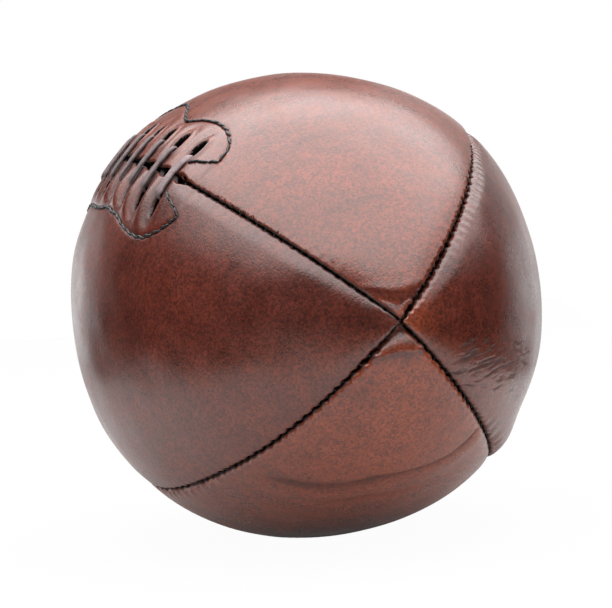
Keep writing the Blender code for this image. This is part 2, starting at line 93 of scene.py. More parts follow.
STITCH_END = 0.015
STITCH_LOBE = 0.027
STITCH_WAIST = 0.0225
STITCH_CORNER = 0.0116
STITCH_START = 0.007
WAIST_BAR = 2
LAYER_GAP = 0.0008
CLEARANCE = 0.0003
SEAMS = ("upper_right", "upper_left", "lower_left", "lower_right")
PANELS = ("top", "left", "bottom", "right")
UPPER_RIGHT, LACED_SEAM, LOWER_LEFT, LOWER_RIGHT = range(len(SEAMS))
TOP, LEFT, BOTTOM, RIGHT = range(len(PANELS))
LACED_SIDES = {TOP: -1, LEFT: 1}

# Finer forms that only the looks have. Four values follow the seams or the panels, and two follow the top and
# left panels. Four pairs give each panel's values at its two seams. Drifts are in degrees. A bump has its
# height, place and reach, and a band its strength, its start and the length over which it grows, which is
# negative if it grows backwards. Ripples have a height, length and phase, waves a length, number and seed.
DRIFT_AT_MIDDLE = np.array((0.7, 0.7, -0.2, -2.1))
DRIFT_TO_FRONT = np.array((0.9, 2.2, 1.1, -1.5))
TIP_OPENING = 0.0009
SEWN_GAPS = (0.00066, 0.00028, 0.00026, 0.00034)
RAGGED_EDGE = 0.34
RAGGED_LENGTHS = (0.00047, 0.00083)
EDGE_ROLLS = (0.0018, 0.0011, 0.0018, 0.0018)
SLIT_GAP = 0.0009
SLIT_GAPE = 0.0011
TIP_GAPE = (0.0004, 0.018, 0.008)
TIP_FLANGE = 0.0022
EDGE_CURL = 0.0009
STITCH_PITCH = 0.0046
SEAM_ZIGZAGS = (0.00012, 0.00006, 0.00028, 0.00026)
EDGE_WIGGLE = 0.00022
WIGGLE_REACH = 0.0030
WIGGLE_WANDER = ((1.3, 0.011, 0), (0.8, 0.0047, 1))
ZIGZAGS_OFF_TIP = (0.004, 0.012)
PILLOW_DEPTHS = ((0.0003, 0.0003), (0.0013, 0.0005), (0.0004, 0.0007), (0.0005, 0.0012))
PILLOW_REACHES = ((0.006, 0.006), (0.0072, 0.008), (0.007, 0.007), (0.008, 0.0105))
PILLOW_OFF_TIP = (0.003, 0.012)
RIDGE = (0.00018, 0.0058, 0.0030)
RIDGE_LUMPS = ((0.35, 0.0041, 0), (0.30, 0.0073, 1))
BROAD_SWELL = 0.00045
BROAD_WAVES = (0.075, 14, 3)
FINE_SWELL = 0.00010
FINE_WAVES = (0.022, 18, 4)
SWELLS_OFF_TIP = (0.0, 0.04)
LOWER_SWELL = (0.0019, 0.046, 0.030)
LOWER_SWELL_ACROSS = (1.0, 0.0085, 0.0085)
ABOVE_FLOOR = 0.00002
OVAL = 0.0009
OVAL_LEAN = math.radians(-11)

# Puckers beside a seam: strength by the front tip and its growth towards the back, where the growth starts
# and over what length, pitch in stitches, and reach. Two waves shift them along a seam, a third fades them.
PUCKER_DEPTH = 0.00070
PUCKERS_OFF_TIP = (0.014, 0.03)
PUCKER_WAVES = ((0.45, 0.011), (0.30, 0.0047), (0.25, 0.023))
PLAIN_PUCKERS = (0.18, 0.30, 0.0, 0.05, 1.0, 0.0060)
PUCKERS = {
    (BOTTOM, LOWER_LEFT): (0.25, 0.95, 0.085, 0.04, 1.4, 0.0040),
    (RIGHT, LOWER_RIGHT): (0.25, 1.15, 0.115, 0.03, 2.0, 0.0060),
    (RIGHT, UPPER_RIGHT): (0.35, 0.65, 0.135, 0.04, 1.0, 0.0060),
}

# The step and the dimple round the tips.
TIP_RINGS = (0.0108, 0.0066, 0.0098, 0.0070)
TIP_RINGS_AT_SEAMS = ((0.0175, 0.0185), (0.0075, 0.0075), (0.0160, 0.0125), (0.0080, 0.0080))
TIP_STEPS = (0.0056, 0.0030, 0.0086, 0.0030)
TIP_SINKS = (0.0011, 0.0005, 0.0034, 0.0007)
TIP_SINKS_AT_SEAMS = (0.0006, 0.0, 0.0021, 0.0)
TIP_RISES = (0.0007, 0.0, 0.0, 0.0)
TIP_CRESTS = (0.0001, 0.0, 0.0004, 0.0)
TIP_CREST_PLACE = (0.0004, 0.0018)

# The lacing.
LACING_SINK = 0.0009
LACING_REACH = 0.030
SLIT_FADE = 0.012
FOLD_DEPTHS = (0.00050, 0.00150)
FOLD_REACH = 0.0095
FOLD_SLANT = 3.5
FOLD_BEND = (0.175, 0.013, 1)
FOLD_FADE = 0.006
BACK_FOLDS = 0.35
FRONT_FOLDS = (0.65, -0.004, 0.022)
STITCH_SHIFTS = (0.0050, -0.0042)
STITCH_SHIFT_SPEEDS = (1.0, 2.0)
STITCH_BACK_TRIMS = (0.0, 0.0030)
BACK_TRIM_LENGTH = 0.010
STITCH_SQUARENESS = (0.45, 0.80)
STITCH_GROOVE = (0.00045, 0.0, 0.0011)
PATCH_PAD = (0.0003, 0.0, -0.004)
PATCH_END_FADE = 0.002
SLOT_ENDS = ((0.0088, 0.0172), (0.0082, 0.0172))
SLOT_WIDTHS = (0.0054, 0.0038)
SLOT_TAPER = 0.35
SLOT_BULGE = 1.08
SLOT_LIPS = (0.0006, 0.0002)
SLOT_LIP_PLACE = (1.40, 0.38)
SLOT_ROLL = (0.0008, 1.25, -0.5)
LACE_HOLE = 0.0100
LACE_HOLE_SPREAD = 0.0020
LACE_SPREAD_BARS = 3
LACE_LOOK_WIDTH = 0.0030
LACE_LOOK_THICKNESS = 0.0014
LACE_SQUARENESS = (0.6, 0.8)
LACE_UNEVEN = 0.06
LACE_UNEVEN_STEP = 0.9
SQUEEZED_WIDTH = 0.5
SQUEEZED_THICKNESS = 0.6
FIRST_BAR_WIDTH = 1.40
FIRST_BAR_LEAN = 0.0022
STITCH_THREAD = 0.00105
PATCH_STITCH = 0.0052
PATCH_STITCH_SLANTS = (0.0001, 0.0006)
PATCH_STITCH_STARTS = (-0.08, 0.04)
PATCH_STITCH_STOPS = (0.97, 1.10)
PATCH_STITCH_HEIGHTS = (-0.35, 0.42)
PATCH_STITCH_SIZES = (0.9, 1.1)
PATCH_STITCH_TWIST = (0.003, 0.0009, 0.65)
SEAM_THREAD = 0.0007
SEAM_STITCH_HALF = 0.0016
SEAM_STITCH_DEPTH = 0.0017
SEAM_STITCH_RISE = 0.0009
SEAM_STITCH_SLANT = 0.0007
SEAM_STITCH_SCATTER = (0.0003, 0.0002)
SEAM_STITCH_TWIST = (0.002, 0.0006)
STITCHES_OFF_END = 0.004
FIBRES_OFF_TIP = 0.012
FIBRE_SCATTER = 0.0008
FIBRE_LEAN = 0.0022
FIBRE_ROOTS = (0.0002, 0.0008)
FIBRE_ENDS = (0.0008, 0.0021)
FIBRE_ROOT_HEIGHT = -0.0014
FIBRE_END_HEIGHTS = (-0.0005, 0.00035)
FIBRE_SIZES = (0.00016, 0.00040)
FIBRE_TWIST = (0.002, 0.0002)
THREAD_TWIST = 0.22

# Creases and wrinkles. Creases lie at distances along the cover and shares of the panel's width across it,
# and wrinkles at distances along the cover and from the panel's first seam.
CREASE_AT = 0.1062
CREASE_SLANT = 0.041
CREASE_BEND = 0.48
CREASE_WANDER = 0.0006
CREASE_WAVES = (0.03, 8, 33)
CREASE_WIDTHS = (0.0036, 0.0013)
CREASE_NARROWS = (1.0, 0.40, 0.25)
CREASE_ENDS = ((1.0, 0.0, 0.2), (1.0, 1.0, -0.05))
CREASE_DEPTH = 0.00055
CREASE_ROLL = (0.00035, -0.0065, 0.0040)
SECOND_CREASE = (0.00030, -0.0135, 0.0028)
SECOND_CREASE_ACROSS = (1.0, 0.45, 0.20)
BACK_CREASE = (0.0004, -0.096, 0.003)
BACK_CREASE_ACROSS = (1.0, 0.55, 0.24)
BACK_CREASE_BOW = 0.02
WRINKLES_AT = (0.122, 0.0188)
WRINKLES_ALONG = (-0.030, 0.027)
WRINKLE_SPREAD = 0.0052
WRINKLE_COUNT = 72
WRINKLE_LENGTHS = (0.0018, 0.0056)
WRINKLE_DEPTH = 0.00017
WRINKLE_WIDTH = 0.00040
WRINKLE_LEAN = -0.42
WRINKLE_SLOPE = -0.45
WRINKLE_FAN = -11
WRINKLE_FAN_AT = -0.022
WRINKLE_SCATTER = 0.10
WRINKLE_WAVE = (0.00025, 0.0016)
WRINKLE_BOW = 12
WRINKLE_STRENGTHS = (0.4, 1.0)
WRINKLE_LIMIT = 1.2

# Wear and painted light, fraying, and painted shade and shadow.
# Tan share of each panel and round its tips: wear, with painted light from the lamps above on the top panel,
# and on the bottom panel partly its own lighter tone and partly painted light from the floor.
PANEL_WEAR_AND_LIGHT = (0.32, 0.0, 1.10, 0.0)
WORN_TIPS = (0.50, 0.15, 0.90, 0.95)
WORN_TIP_REACHES = (0.030, 0.012, 0.030, 0.013)
# Painted light from the floor: bands that lighten the lower sides of the left and right panels. The bottom
# panel has less tan towards its left seam and a tan spot at its front, of wear and painted light.
LOWER_PAINTED_LIGHT_BANDS = {LEFT: (0.36, 0.40, 0.40), RIGHT: (0.40, 0.45, -0.35)}
LESS_WEAR_AND_LIGHT_BAND = (0.45, 0.40, -0.35)
WEAR_AND_LIGHT_PLACE = (0.112, -0.015, -0.042)
WEAR_AND_LIGHT_REACH = 0.055
# Painted shade: dark bands on the step round the tips of the top and bottom panels, where the tan is taken
# away.
TIP_PAINTED_SHADE = (1.0, 0.0, 0.9, 0.0)
TIP_PAINTED_SHADE_DEPTHS = (0.0028, 0.0, -0.0004, 0.0)
TIP_PAINTED_SHADE_REACH = 0.0022
FRAYED_REACH = 0.0022
FRAYED_EDGES = ((0.55, 0.58), (0.30, 0.40), (0.35, 0.30), (0.25, 0.15))
SEAM_SHADE = 0.0009
# Painted shade and shadow: darker in the bottom panel's creases, the right panel's wrinkles, the left panel's
# fold valleys, under and beside the lace's bars, and in the slots.
CREASE_PAINTED_SHADE = 0.70
CREASE_PAINTED_SHADE_DEPTH = 0.0006
WRINKLE_PAINTED_SHADE = 0.75
FOLD_PAINTED_SHADE = 0.55
LACE_PAINTED_SHADOW = 0.90
LACE_PAINTED_SHADOW_REACH = 0.0034
LACE_PAINTED_SHADOW_ENDS = (1.0, LACE_HOLE + 0.003, -0.004)
SLOT_PAINTED_SHADE = (1.20, 1.36, -0.26)
RAW_FACING = 0.22
RAW_RIM = 1.12
HIDE_STEP = 0.4

# Faces along and across the pieces.
COLUMNS = 660
TIP_COLUMNS = 72
TIP_REACH = 0.026
COARSE_STEP = 2
INNER_STEP = 6
FLANGE_ROWS = 3
ROLL_ROWS = 6
EDGE_ROWS = FLANGE_ROWS + ROLL_ROWS
FINE_ROW = 0.0006
COARSE_ROW = 0.0024
FINE_BY_SEAM = 0.006
FINE_BY_LACING = 0.030
WRINKLED_TO = 0.054
WRINKLE_ROW = 0.0009
TABLE_STEPS = 6000
SLOT_SIDES = 20
LACE_SIDES = 16
LACE_CUTS = 5
THREAD_SIDES = 10
TONGUE_GRID = (121, 25)
PATCH_GRID = (241, 31)
END_PATCH_GRID = 25
LINING_GRID = (181, 49)
BLADDER_GRID = (121, 120)

# Inside the cover: the tongue's rounded corners, and the bladder's grooves and pocket, in quarter turns.
TONGUE_CORNER = 0.4
TONGUE_SQUARENESS = 24
GROOVE_SPREAD = 0.12
POCKET_SPREAD = 0.16

# Sizes that follow from those above.
HALF_LENGTH = BALL_LENGTH / 2
RADIUS = BALL_DIAMETER / 2
REST_HEIGHT = cad_low.z
LOWEST_LEATHER = REST_HEIGHT + ABOVE_FLOOR
SLIT_HALF = BAR_PITCH * (BAR_COUNT - 1) / 2 + SLIT_BEYOND_BARS
STITCH_HALF = SLIT_HALF + STITCH_END
WAIST_AT = BAR_PITCH * ((BAR_COUNT - 1) / 2 - WAIST_BAR)
PATCH_BOTTOM = LINING_DEPTH + PATCH_THICKNESS
LACE_UNDER = PATCH_BOTTOM + LAYER_GAP + LACE_THICKNESS / 2
LACE_OVER = CLEARANCE + LACE_THICKNESS / 2
TONGUE_DEPTH = LACE_UNDER + LACE_THICKNESS / 2 + LAYER_GAP
BLADDER_DEPTH = LINING_DEPTH + CANVAS + BLADDER_SLACK
TIP_TURN = math.asin((TIP_OPENING / RADIUS) ** (1 / END_SHARPNESS))


def smooth(share):
    """Eases from 0 to 1 as the share goes from 0 to 1."""
    share = np.clip(share, 0.0, 1.0)
    return share * share * (3 - 2 * share)


def between(start, end, share):
    return start + (end - start) * share


def ramp(share):
    """Rises evenly from 0 to 1 with softly rounded ends."""
    share = np.clip(share, 0.0, 1.0)
    soft = 0.42
    start = np.square(share) / (2 * soft)
    end = 1 - soft - np.square(1 - share) / (2 * soft)
    level = np.where(share < soft, start, np.where(share > 1 - soft, end, share - soft / 2))
    return level / (1 - soft)


def hump(distance, reach):
    """A soft bump that is 1 at no distance and fades over the reach."""
    return np.exp(-np.square(distance / reach))


def raised(distance, height, at, reach):
    """A soft bump of some height at a distance, which fades over the reach."""
    return height * hump(distance - at, reach)


def band(share, strength, start, length):
    """Grows to its strength from a start, over a length that may be negative."""
    return strength * smooth((share - start) / length)


def ripples(along, *parts):
    """The sum of even waves, each with its height, length and phase."""
    return sum(height * np.sin(along / length + phase) for height, length, phase in parts)


def circle(count):
    return np.linspace(0, 2 * math.pi, count, endpoint=False)


def unit(vectors):
    return vectors / (np.linalg.norm(vectors, axis=-1, keepdims=True) + 1e-12)


def at_seam(values, seam):
    return values[seam % len(SEAMS)]


def profile(turn):
    """Distance along the axis and radius, at an angle from 0 at the front tip to pi at the back tip."""
    return HALF_LENGTH * np.cos(turn), RADIUS * np.sin(turn) ** END_SHARPNESS


def profile_slope(turn):
    along = -HALF_LENGTH * np.sin(turn)
    outward = RADIUS * END_SHARPNESS * np.sin(turn) ** (END_SHARPNESS - 1) * np.cos(turn)
    return along, outward


TABLE_TURNS = np.linspace(TIP_TURN, math.pi - TIP_TURN, TABLE_STEPS + 1)
TABLE_SPEEDS = np.hypot(*profile_slope(TABLE_TURNS))
TABLE_LENGTHS = np.cumsum(TABLE_SPEEDS) * (TABLE_TURNS[1] - TABLE_TURNS[0])
HALF_ARC = (TABLE_LENGTHS[-1] - TABLE_LENGTHS[0]) / 2
TABLE_ALONG = HALF_ARC - (TABLE_LENGTHS - TABLE_LENGTHS[0])


def turn_at(along):
    """The profile's angle at a distance along the cover from its middle, positive towards the front."""
    return np.interp(-np.asarray(along), -TABLE_ALONG, TABLE_TURNS)


def along_at(turn):
    return np.interp(turn, TABLE_TURNS, TABLE_ALONG)


def from_tip(along):
    """Distance along the cover from the nearer tip."""
    return HALF_ARC - np.abs(along)


def off_tip(along, start, length):
    """Grows from 0 to 1 over a length, from a distance behind either tip."""
    return smooth((from_tip(along) - start) / length)


def seam_angle(seam, turn):
    """Angle of a seam round the axis, from +Y towards +Z."""
    forward = np.cos(turn)
    index = np.asarray(seam) % len(SEAMS)
    drift = DRIFT_AT_MIDDLE[index] * np.minimum(1.0, 1 + forward)
    drift = drift + DRIFT_TO_FRONT[index] * np.maximum(0.0, forward)
    return np.radians(45 + 90 * np.asarray(seam) + drift)


def panel_width(turn, panel):
    return profile(turn)[1] * (seam_angle(panel + 1, turn) - seam_angle(panel, turn))


def cover(turn, place, height):
    """Points at a height square to the cover. A place of 1.5 is midway from seam 1 to seam 2."""
    axial, radius = profile(turn)
    along, outward = profile_slope(turn)
    length = np.hypot(along, outward)
    height = height + SEAM_RISE * np.sin(turn) * np.cos(2 * math.pi * place)
    seam = np.floor(place).astype(int)
    angle = between(seam_angle(seam, turn), seam_angle(seam + 1, turn), place - seam)
    axial = axial + height * outward / length
    radius = radius - height * along / length
    return np.stack(np.broadcast_arrays(axial, radius * np.cos(angle), radius * np.sin(angle)), axis=-1)


def by_lacing(along, across, height):
    """Points placed by the laced seam: along it from its middle, across it to the left, and their height."""
    turn = turn_at(along)
    across = np.asarray(across, float)
    width = np.where(across >= 0, panel_width(turn, LEFT), panel_width(turn, TOP))
    return cover(turn, LACED_SEAM + across / width, height)


def from_laced_seam(panel, distance, width):
    """Turns a distance from a laced panel's first seam into one from the laced seam, or back."""
    return distance if panel == LEFT else width - distance


def bar_places():
    """Where each bar of the lace crosses the seam, from the front."""
    return [BAR_PITCH * ((BAR_COUNT - 1) / 2 - bar) for bar in range(BAR_COUNT)]


def bar_lean(along):
    """How far the top end of each bar lies ahead of its left end, at a place along the lacing."""
    bar = (BAR_COUNT - 1) / 2 - np.asarray(along) / BAR_PITCH
    return FIRST_BAR_LEAN * 0.5 ** np.maximum(bar, 0)


def stitch_distance(panel, along):
    """Distance of the patch's stitches from the seam: three lobes, the end ones drawn in to a corner."""
    trimmed = STITCH_BACK_TRIMS[panel] * smooth((-along - WAIST_AT) / BACK_TRIM_LENGTH)
    along = np.abs(along)
    lobe = (WAIST_AT + STITCH_HALF) / 2
    middle = np.cos(math.pi / 2 * np.clip(along / WAIST_AT, 0, 1))
    rise = np.cos(math.pi / 2 * np.clip((lobe - along) / (lobe - WAIST_AT), 0, 1))
    fall = np.cos(math.pi / 2 * np.clip((along - lobe) / (STITCH_HALF - lobe), 0, 1))
    fall = fall ** STITCH_SQUARENESS[panel]
    inner = between(STITCH_WAIST, STITCH_LOBE, np.where(along <= WAIST_AT, middle, rise))
    shift = STITCH_SHIFTS[panel] * smooth((WAIST_AT - along) / WAIST_AT * STITCH_SHIFT_SPEEDS[panel])
    return shift - trimmed + np.where(along <= lobe, inner, between(STITCH_CORNER, STITCH_LOBE, fall))


def waves(points, length, count, seed):
    """Smooth uneven bumps between about -1 and 1, made of crossing waves of about one length."""
    random = np.random.default_rng(seed)
    directions = unit(random.normal(size=(count, 3)))
    lengths = length * random.uniform(0.7, 1.5, count)
    phases = random.uniform(0, 2 * math.pi, count)
    total = np.zeros(points.shape[:-1])
    for direction, each, phase in zip(directions, lengths, phases):
        total += np.sin(points @ direction * (2 * math.pi / each) + phase)
    return total / math.sqrt(count)


def broad_swell(points):
    return BROAD_SWELL * waves(points, *BROAD_WAVES)


def oval(points, turn=math.pi / 2):
    """How far the slightly oval section lies inside the round one."""
    return OVAL * np.sin(turn) * np.cos(2 * (np.arctan2(points[..., 2], points[..., 1]) - OVAL_LEAN))


# Leather panels.


def turned_in(turn, seam):
    """How far the panels' edges are turned in at a seam: 1 where sewn, and 0 along the slit."""
    if seam != LACED_SEAM:
        return np.ones_like(turn)
    return smooth((np.abs(along_at(turn)) - SLIT_HALF) / (FLAT_PAST_SLIT + FOLD_RAMP))


def half_gap(turn, seam):
    """Half the gap between two panels: ragged where sewn, and gaping between the bars of the lace."""
    along = along_at(turn)
    gape = SLIT_GAPE * np.square(np.sin(math.pi * along / BAR_PITCH))
    first, second = RAGGED_LENGTHS
    ragged = 1 + ripples(along, (RAGGED_EDGE, first, seam), (RAGGED_EDGE, second, 2 * seam))
    sewn = at_seam(SEWN_GAPS, seam) * ragged
    if seam == LOWER_LEFT:
        sewn = sewn + raised(HALF_ARC - along, *TIP_GAPE)
    return between(SLIT_GAP + gape, sewn, turned_in(turn, seam))


def puckers(panel, seam):
    return PUCKERS.get((panel, seam % len(SEAMS)), PLAIN_PUCKERS)


def pucker_strength(panel, seam, along):
    """How much a seam puckers the leather of one panel beside it."""
    front, growth, start, length = puckers(panel, seam)[:4]
    return off_tip(along, *PUCKERS_OFF_TIP) * (front + band(along, growth, start, -length))


def pucker(panel, seam, along, from_seam):
    """How far the stitches of a seam draw the leather of one panel in, from 0 to 1."""
    spread, reach = puckers(panel, seam)[4:]
    phases = np.random.default_rng(10 * panel + seam).uniform(0, 2 * math.pi, 3)
    first, second, fading = [(*wave, phase) for wave, phase in zip(PUCKER_WAVES, phases)]
    strength = 1 - fading[0] + ripples(along, fading)
    pinch = np.cos(math.pi * along / (STITCH_PITCH * spread) + ripples(along, first, second)) ** 2
    return strength * pinch * hump(from_seam - reach / 3, reach / 2)


def pillow(panel, seam, along, from_seam):
    """How the padded leather rounds down to a seam, with a lumpy ridge by the right panel's upper seam."""
    reach = PILLOW_REACHES[panel][seam - panel]
    height = -PILLOW_DEPTHS[panel][seam - panel] * np.square(np.clip(1 - from_seam / reach, 0, 1))
    if (panel, seam % len(SEAMS)) == (RIGHT, UPPER_RIGHT):
        lumps = 1 + ripples(along, *RIDGE_LUMPS)
        height = height + lumps * raised(from_seam, *RIDGE)
    return off_tip(along, *PILLOW_OFF_TIP) * height


def tip_ring(panel, share):
    """Distance from the tip at which a panel starts to step down, across the panel."""
    at_seams = np.where(share < 0.5, *TIP_RINGS_AT_SEAMS[panel])
    return between(TIP_RINGS[panel], at_seams, np.square(2 * share - 1))


def tip_step(panel, past):
    """How far a panel has stepped down, from 0 to 1, at a distance past the ring round the tip."""
    return 1 - ramp(1 + past / TIP_STEPS[panel])


def tip_relief(panel, along, share):
    """The dimple at each tip, where the ends of the panels step down to the sewn cross."""
    to_seam = np.square(2 * share - 1)
    ring = tip_ring(panel, share)
    past = from_tip(along) - ring
    sunk = -between(TIP_SINKS[panel], TIP_SINKS_AT_SEAMS[panel], to_seam) * tip_step(panel, past)
    rise = TIP_RISES[panel] * (1 - to_seam) * np.clip(1 - from_tip(along) / (ring - TIP_STEPS[panel]), 0, 1)
    return sunk + raised(past, TIP_CRESTS[panel], *TIP_CREST_PLACE) + rise


def slot_place(panel, place):
    return place + bar_lean(place) if panel == TOP else place


def from_slot(panel, place, along, across):
    """Distance from the middle of a lace slot, where 1 is its edge."""
    inner, outer = SLOT_ENDS[panel]
    off_along = (along - slot_place(panel, place)) / (SLOT_WIDTHS[panel] / 2)
    return np.hypot(off_along, (across - (inner + outer) / 2) / ((outer - inner) / 2))


def slot_relief(panel, along, across):
    """The lips of the lace slots: a raised rim that rolls down into each hole."""
    total = np.zeros_like(across)
    for place in bar_places():
        near = from_slot(panel, place, along, across)
        total += raised(near, SLOT_LIPS[panel], *SLOT_LIP_PLACE) - band(near, *SLOT_ROLL)
    return total


def by_slit(along):
    return smooth((SLIT_HALF + SLIT_FADE / 2 - np.abs(along)) / SLIT_FADE)


def lacing_folds(panel, along, across):
    """The folds that the lace draws into the leather from each slot, slighter at the back."""
    bent = ripples(along, FOLD_BEND) + FOLD_SLANT * across
    folds = np.cos(2 * math.pi * along / BAR_PITCH + bent)
    to_stitches = smooth((stitch_distance(panel, along) - across) / FOLD_FADE)
    strength = (BACK_FOLDS + band(along, *FRONT_FOLDS)) * by_slit(along)
    return -raised(across, FOLD_DEPTHS[panel], SLOT_OFFSET, FOLD_REACH) * to_stitches * folds * strength


def lacing_relief(panel, along, across):
    """The sunken lacing, with the groove of the patch's stitches, the lace's folds and the slots' lips."""
    past_stitch = across - stitch_distance(panel, along)
    padded = band(past_stitch, *PATCH_PAD) - raised(past_stitch, *STITCH_GROOVE)
    height = padded * smooth((STITCH_HALF - np.abs(along)) / PATCH_END_FADE)
    height -= LACING_SINK * by_slit(along) * hump(across, LACING_REACH)
    return height + lacing_folds(panel, along, across) + slot_relief(panel, along, across)


def bottom_creases(points, along, share):
    """A long crease across the front of the bottom panel, sharper to the right, and two slighter ones."""
    wander = CREASE_WANDER * waves(points, *CREASE_WAVES)
    past = along - (CREASE_AT - CREASE_SLANT * np.maximum(0, CREASE_BEND - share) + wander)
    width = between(*CREASE_WIDTHS, band(share, *CREASE_NARROWS))
    ends = band(share, *CREASE_ENDS[0]) * band(share, *CREASE_ENDS[1])
    front = (raised(past, *CREASE_ROLL) - CREASE_DEPTH * hump(past, width)) * ends
    second = raised(past + wander, *SECOND_CREASE) * raised(share, *SECOND_CREASE_ACROSS)
    bowed = along + BACK_CREASE_BOW * np.square(share - 0.5)
    return front - second - raised(bowed, *BACK_CREASE) * raised(share, *BACK_CREASE_ACROSS)


def right_wrinkles(along, from_start):
    """Fine scattered creases on the right panel, behind the front tip and over its lower seam."""
    random = np.random.default_rng(21)
    total = np.zeros_like(from_start)
    for crease in range(WRINKLE_COUNT):
        past = random.uniform(*WRINKLES_ALONG)
        aside = random.normal(0, WRINKLE_SPREAD) + WRINKLE_LEAN * past
        slope = WRINKLE_SLOPE + WRINKLE_FAN * (past - WRINKLE_FAN_AT)
        direction = math.atan(slope + random.normal(0, WRINKLE_SCATTER))
        length = random.uniform(*WRINKLE_LENGTHS)
        off_along = along - WRINKLES_AT[0] - past
        off_aside = from_start - WRINKLES_AT[1] - aside
        lengthwise = off_along * math.cos(direction) + off_aside * math.sin(direction)
        sideways = off_aside * math.cos(direction) - off_along * math.sin(direction)
        sideways = sideways + ripples(lengthwise, (*WRINKLE_WAVE, crease))
        sideways = sideways + random.uniform(-WRINKLE_BOW, WRINKLE_BOW) * lengthwise ** 2
        strength = random.uniform(*WRINKLE_STRENGTHS)
        total += strength * hump(sideways, WRINKLE_WIDTH) * hump(lengthwise, length)
    return -WRINKLE_DEPTH * np.minimum(total, WRINKLE_LIMIT)


def panel_relief(panel, turn, from_start, width):
    """Height of the leather over the plain cover."""
    along = along_at(turn)
    share = np.clip(from_start / width, 0, 1)
    points = cover(turn, panel + share, 0)
    height = broad_swell(points) + FINE_SWELL * waves(points, *FINE_WAVES)
    height *= off_tip(along, *SWELLS_OFF_TIP)
    height += tip_relief(panel, along, share) - oval(points, turn)
    if panel in LACED_SIDES:
        height += lacing_relief(panel, along, from_laced_seam(panel, from_start, width))
    if panel == BOTTOM:
        height += bottom_creases(points, along, share)
    if panel == RIGHT:
        height += right_wrinkles(along, from_start)
        height += raised(along, *LOWER_SWELL) * raised(from_start, *LOWER_SWELL_ACROSS)
    for seam, distance in ((panel, from_start), (panel + 1, width - from_start)):
        drawn_in = PUCKER_DEPTH * pucker_strength(panel, seam, along) * pucker(panel, seam, along, distance)
        height += turned_in(turn, seam) * (pillow(panel, seam, along, distance) - drawn_in)
    return height


def field_rows(panel):
    """Rows across the open field of a panel: shares of its width, and which have all the columns."""
    length = panel_width(math.pi / 2, TOP) - 2 * max(EDGE_ROLLS)
    reaches = [FINE_BY_LACING if seam == LACED_SEAM else FINE_BY_SEAM for seam in (panel, panel + 1)]
    start = np.arange(0, reaches[0], FINE_ROW)
    if panel == RIGHT:
        start = np.concatenate((start, np.arange(start[-1] + WRINKLE_ROW, WRINKLED_TO, WRINKLE_ROW)))
    end = length - np.arange(0, reaches[1], FINE_ROW)[::-1]
    middle = np.linspace(start[-1], end[0], int((end[0] - start[-1]) / COARSE_ROW))[1:-1]
    fine = np.repeat((True, False, True), (len(start), len(middle), len(end)))
    return np.concatenate((start, middle, end)) / length, fine


def edge_row(row, turn, seam, roll):
    """Distance from the edge and depth along one row of a panel's turned-in edge."""
    flange_share = smooth((profile(turn)[1] - END_PATCH_RADIUS) / FOLD_RAMP)
    flange = between(TIP_FLANGE, SEAM_FLANGE, flange_share)
    share = row / EDGE_ROWS
    bend = math.pi / 2 * max(0, row - FLANGE_ROWS) / ROLL_ROWS
    folded_depth = roll * (1 - math.sin(bend))
    if row < FLANGE_ROWS:
        folded_depth = between(np.maximum(flange, roll), roll, row / FLANGE_ROWS)
    fold = turned_in(turn, seam)
    inset = between(roll * share, roll * (1 - math.cos(bend)), fold)
    return inset, between(EDGE_CURL * (1 - share) ** 2, folded_depth, fold)


def column_places():
    """Distances along the cover of the panels' columns, closer together by the tips."""
    inner = HALF_ARC - TIP_REACH
    tip = np.linspace(HALF_ARC, inner, TIP_COLUMNS, endpoint=False)
    middle = np.linspace(inner, -inner, COLUMNS - 2 * TIP_COLUMNS + 1)
    return np.concatenate((tip, middle, -tip[::-1]))


def panel_grid(panel):
    """Outer points of a panel by row and column, with the rows that have all the columns."""
    along = column_places()
    turn = turn_at(along)
    width = panel_width(turn, panel)
    seams = (panel, panel + 1)
    gaps = [half_gap(turn, seam) for seam in seams]
    rolls = [np.minimum(at_seam(EDGE_ROLLS, seam), (width - sum(gaps)) / 3) for seam in seams]
    edges = []
    for seam, roll in zip(seams, rolls):
        edges.append(np.array([edge_row(row, turn, seam, roll) for row in range(EDGE_ROWS)]))
    first, last = edges[0], edges[1][::-1]
    shares, fine = field_rows(panel)
    field = between(gaps[0] + rolls[0], width - gaps[1] - rolls[1], shares[:, None])
    from_start = np.concatenate((gaps[0] + first[:, 0], field, width - gaps[1] - last[:, 0]))
    depth = np.concatenate((first[:, 1], np.zeros_like(field), last[:, 1]))
    wiggle = np.cos(2 * math.pi * along / STITCH_PITCH + ripples(along, *WIGGLE_WANDER))
    for seam, distance in ((panel, from_start), (panel + 1, width - from_start)):
        drawn = at_seam(SEAM_ZIGZAGS, seam) * off_tip(along, *ZIGZAGS_OFF_TIP)
        drawn = drawn + EDGE_WIGGLE * pucker_strength(panel, seam, along)
        from_start = from_start + wiggle * drawn * turned_in(turn, seam) * hump(distance, WIGGLE_REACH)
    height = panel_relief(panel, turn, from_start, width) - depth
    return cover(turn, panel + from_start / width, height), np.pad(fine, EDGE_ROWS, constant_values=True)


def grid_normals(points):
    normals = unit(np.cross(np.gradient(points, axis=0), np.gradient(points, axis=1)))
    middle = tuple(size // 2 for size in points.shape[:2])
    return normals if normals[middle] @ points[middle] > 0 else -normals


def strip(lower, upper, lower_step, upper_step):
    """Faces between two rows of points, where one row may have more points than the other."""
    step = max(lower_step, upper_step)
    faces = []
    for column in range(0, len(lower) - 1, step):
        end = column + step + 1
        faces.append([*lower[column:end:lower_step], *upper[column:end:upper_step][::-1]])
    return faces


def number_rows(points, rows, steps, vertices):
    """Adds rows of points, each at its step, to the vertices, and gives their numbers by row and column."""
    numbers = np.full(points.shape[:2], -1)
    for row in rows:
        chosen = points[row, ::steps[row]]
        numbers[row, ::steps[row]] = np.arange(len(vertices), len(vertices) + len(chosen))
        vertices.extend(chosen)
    return numbers


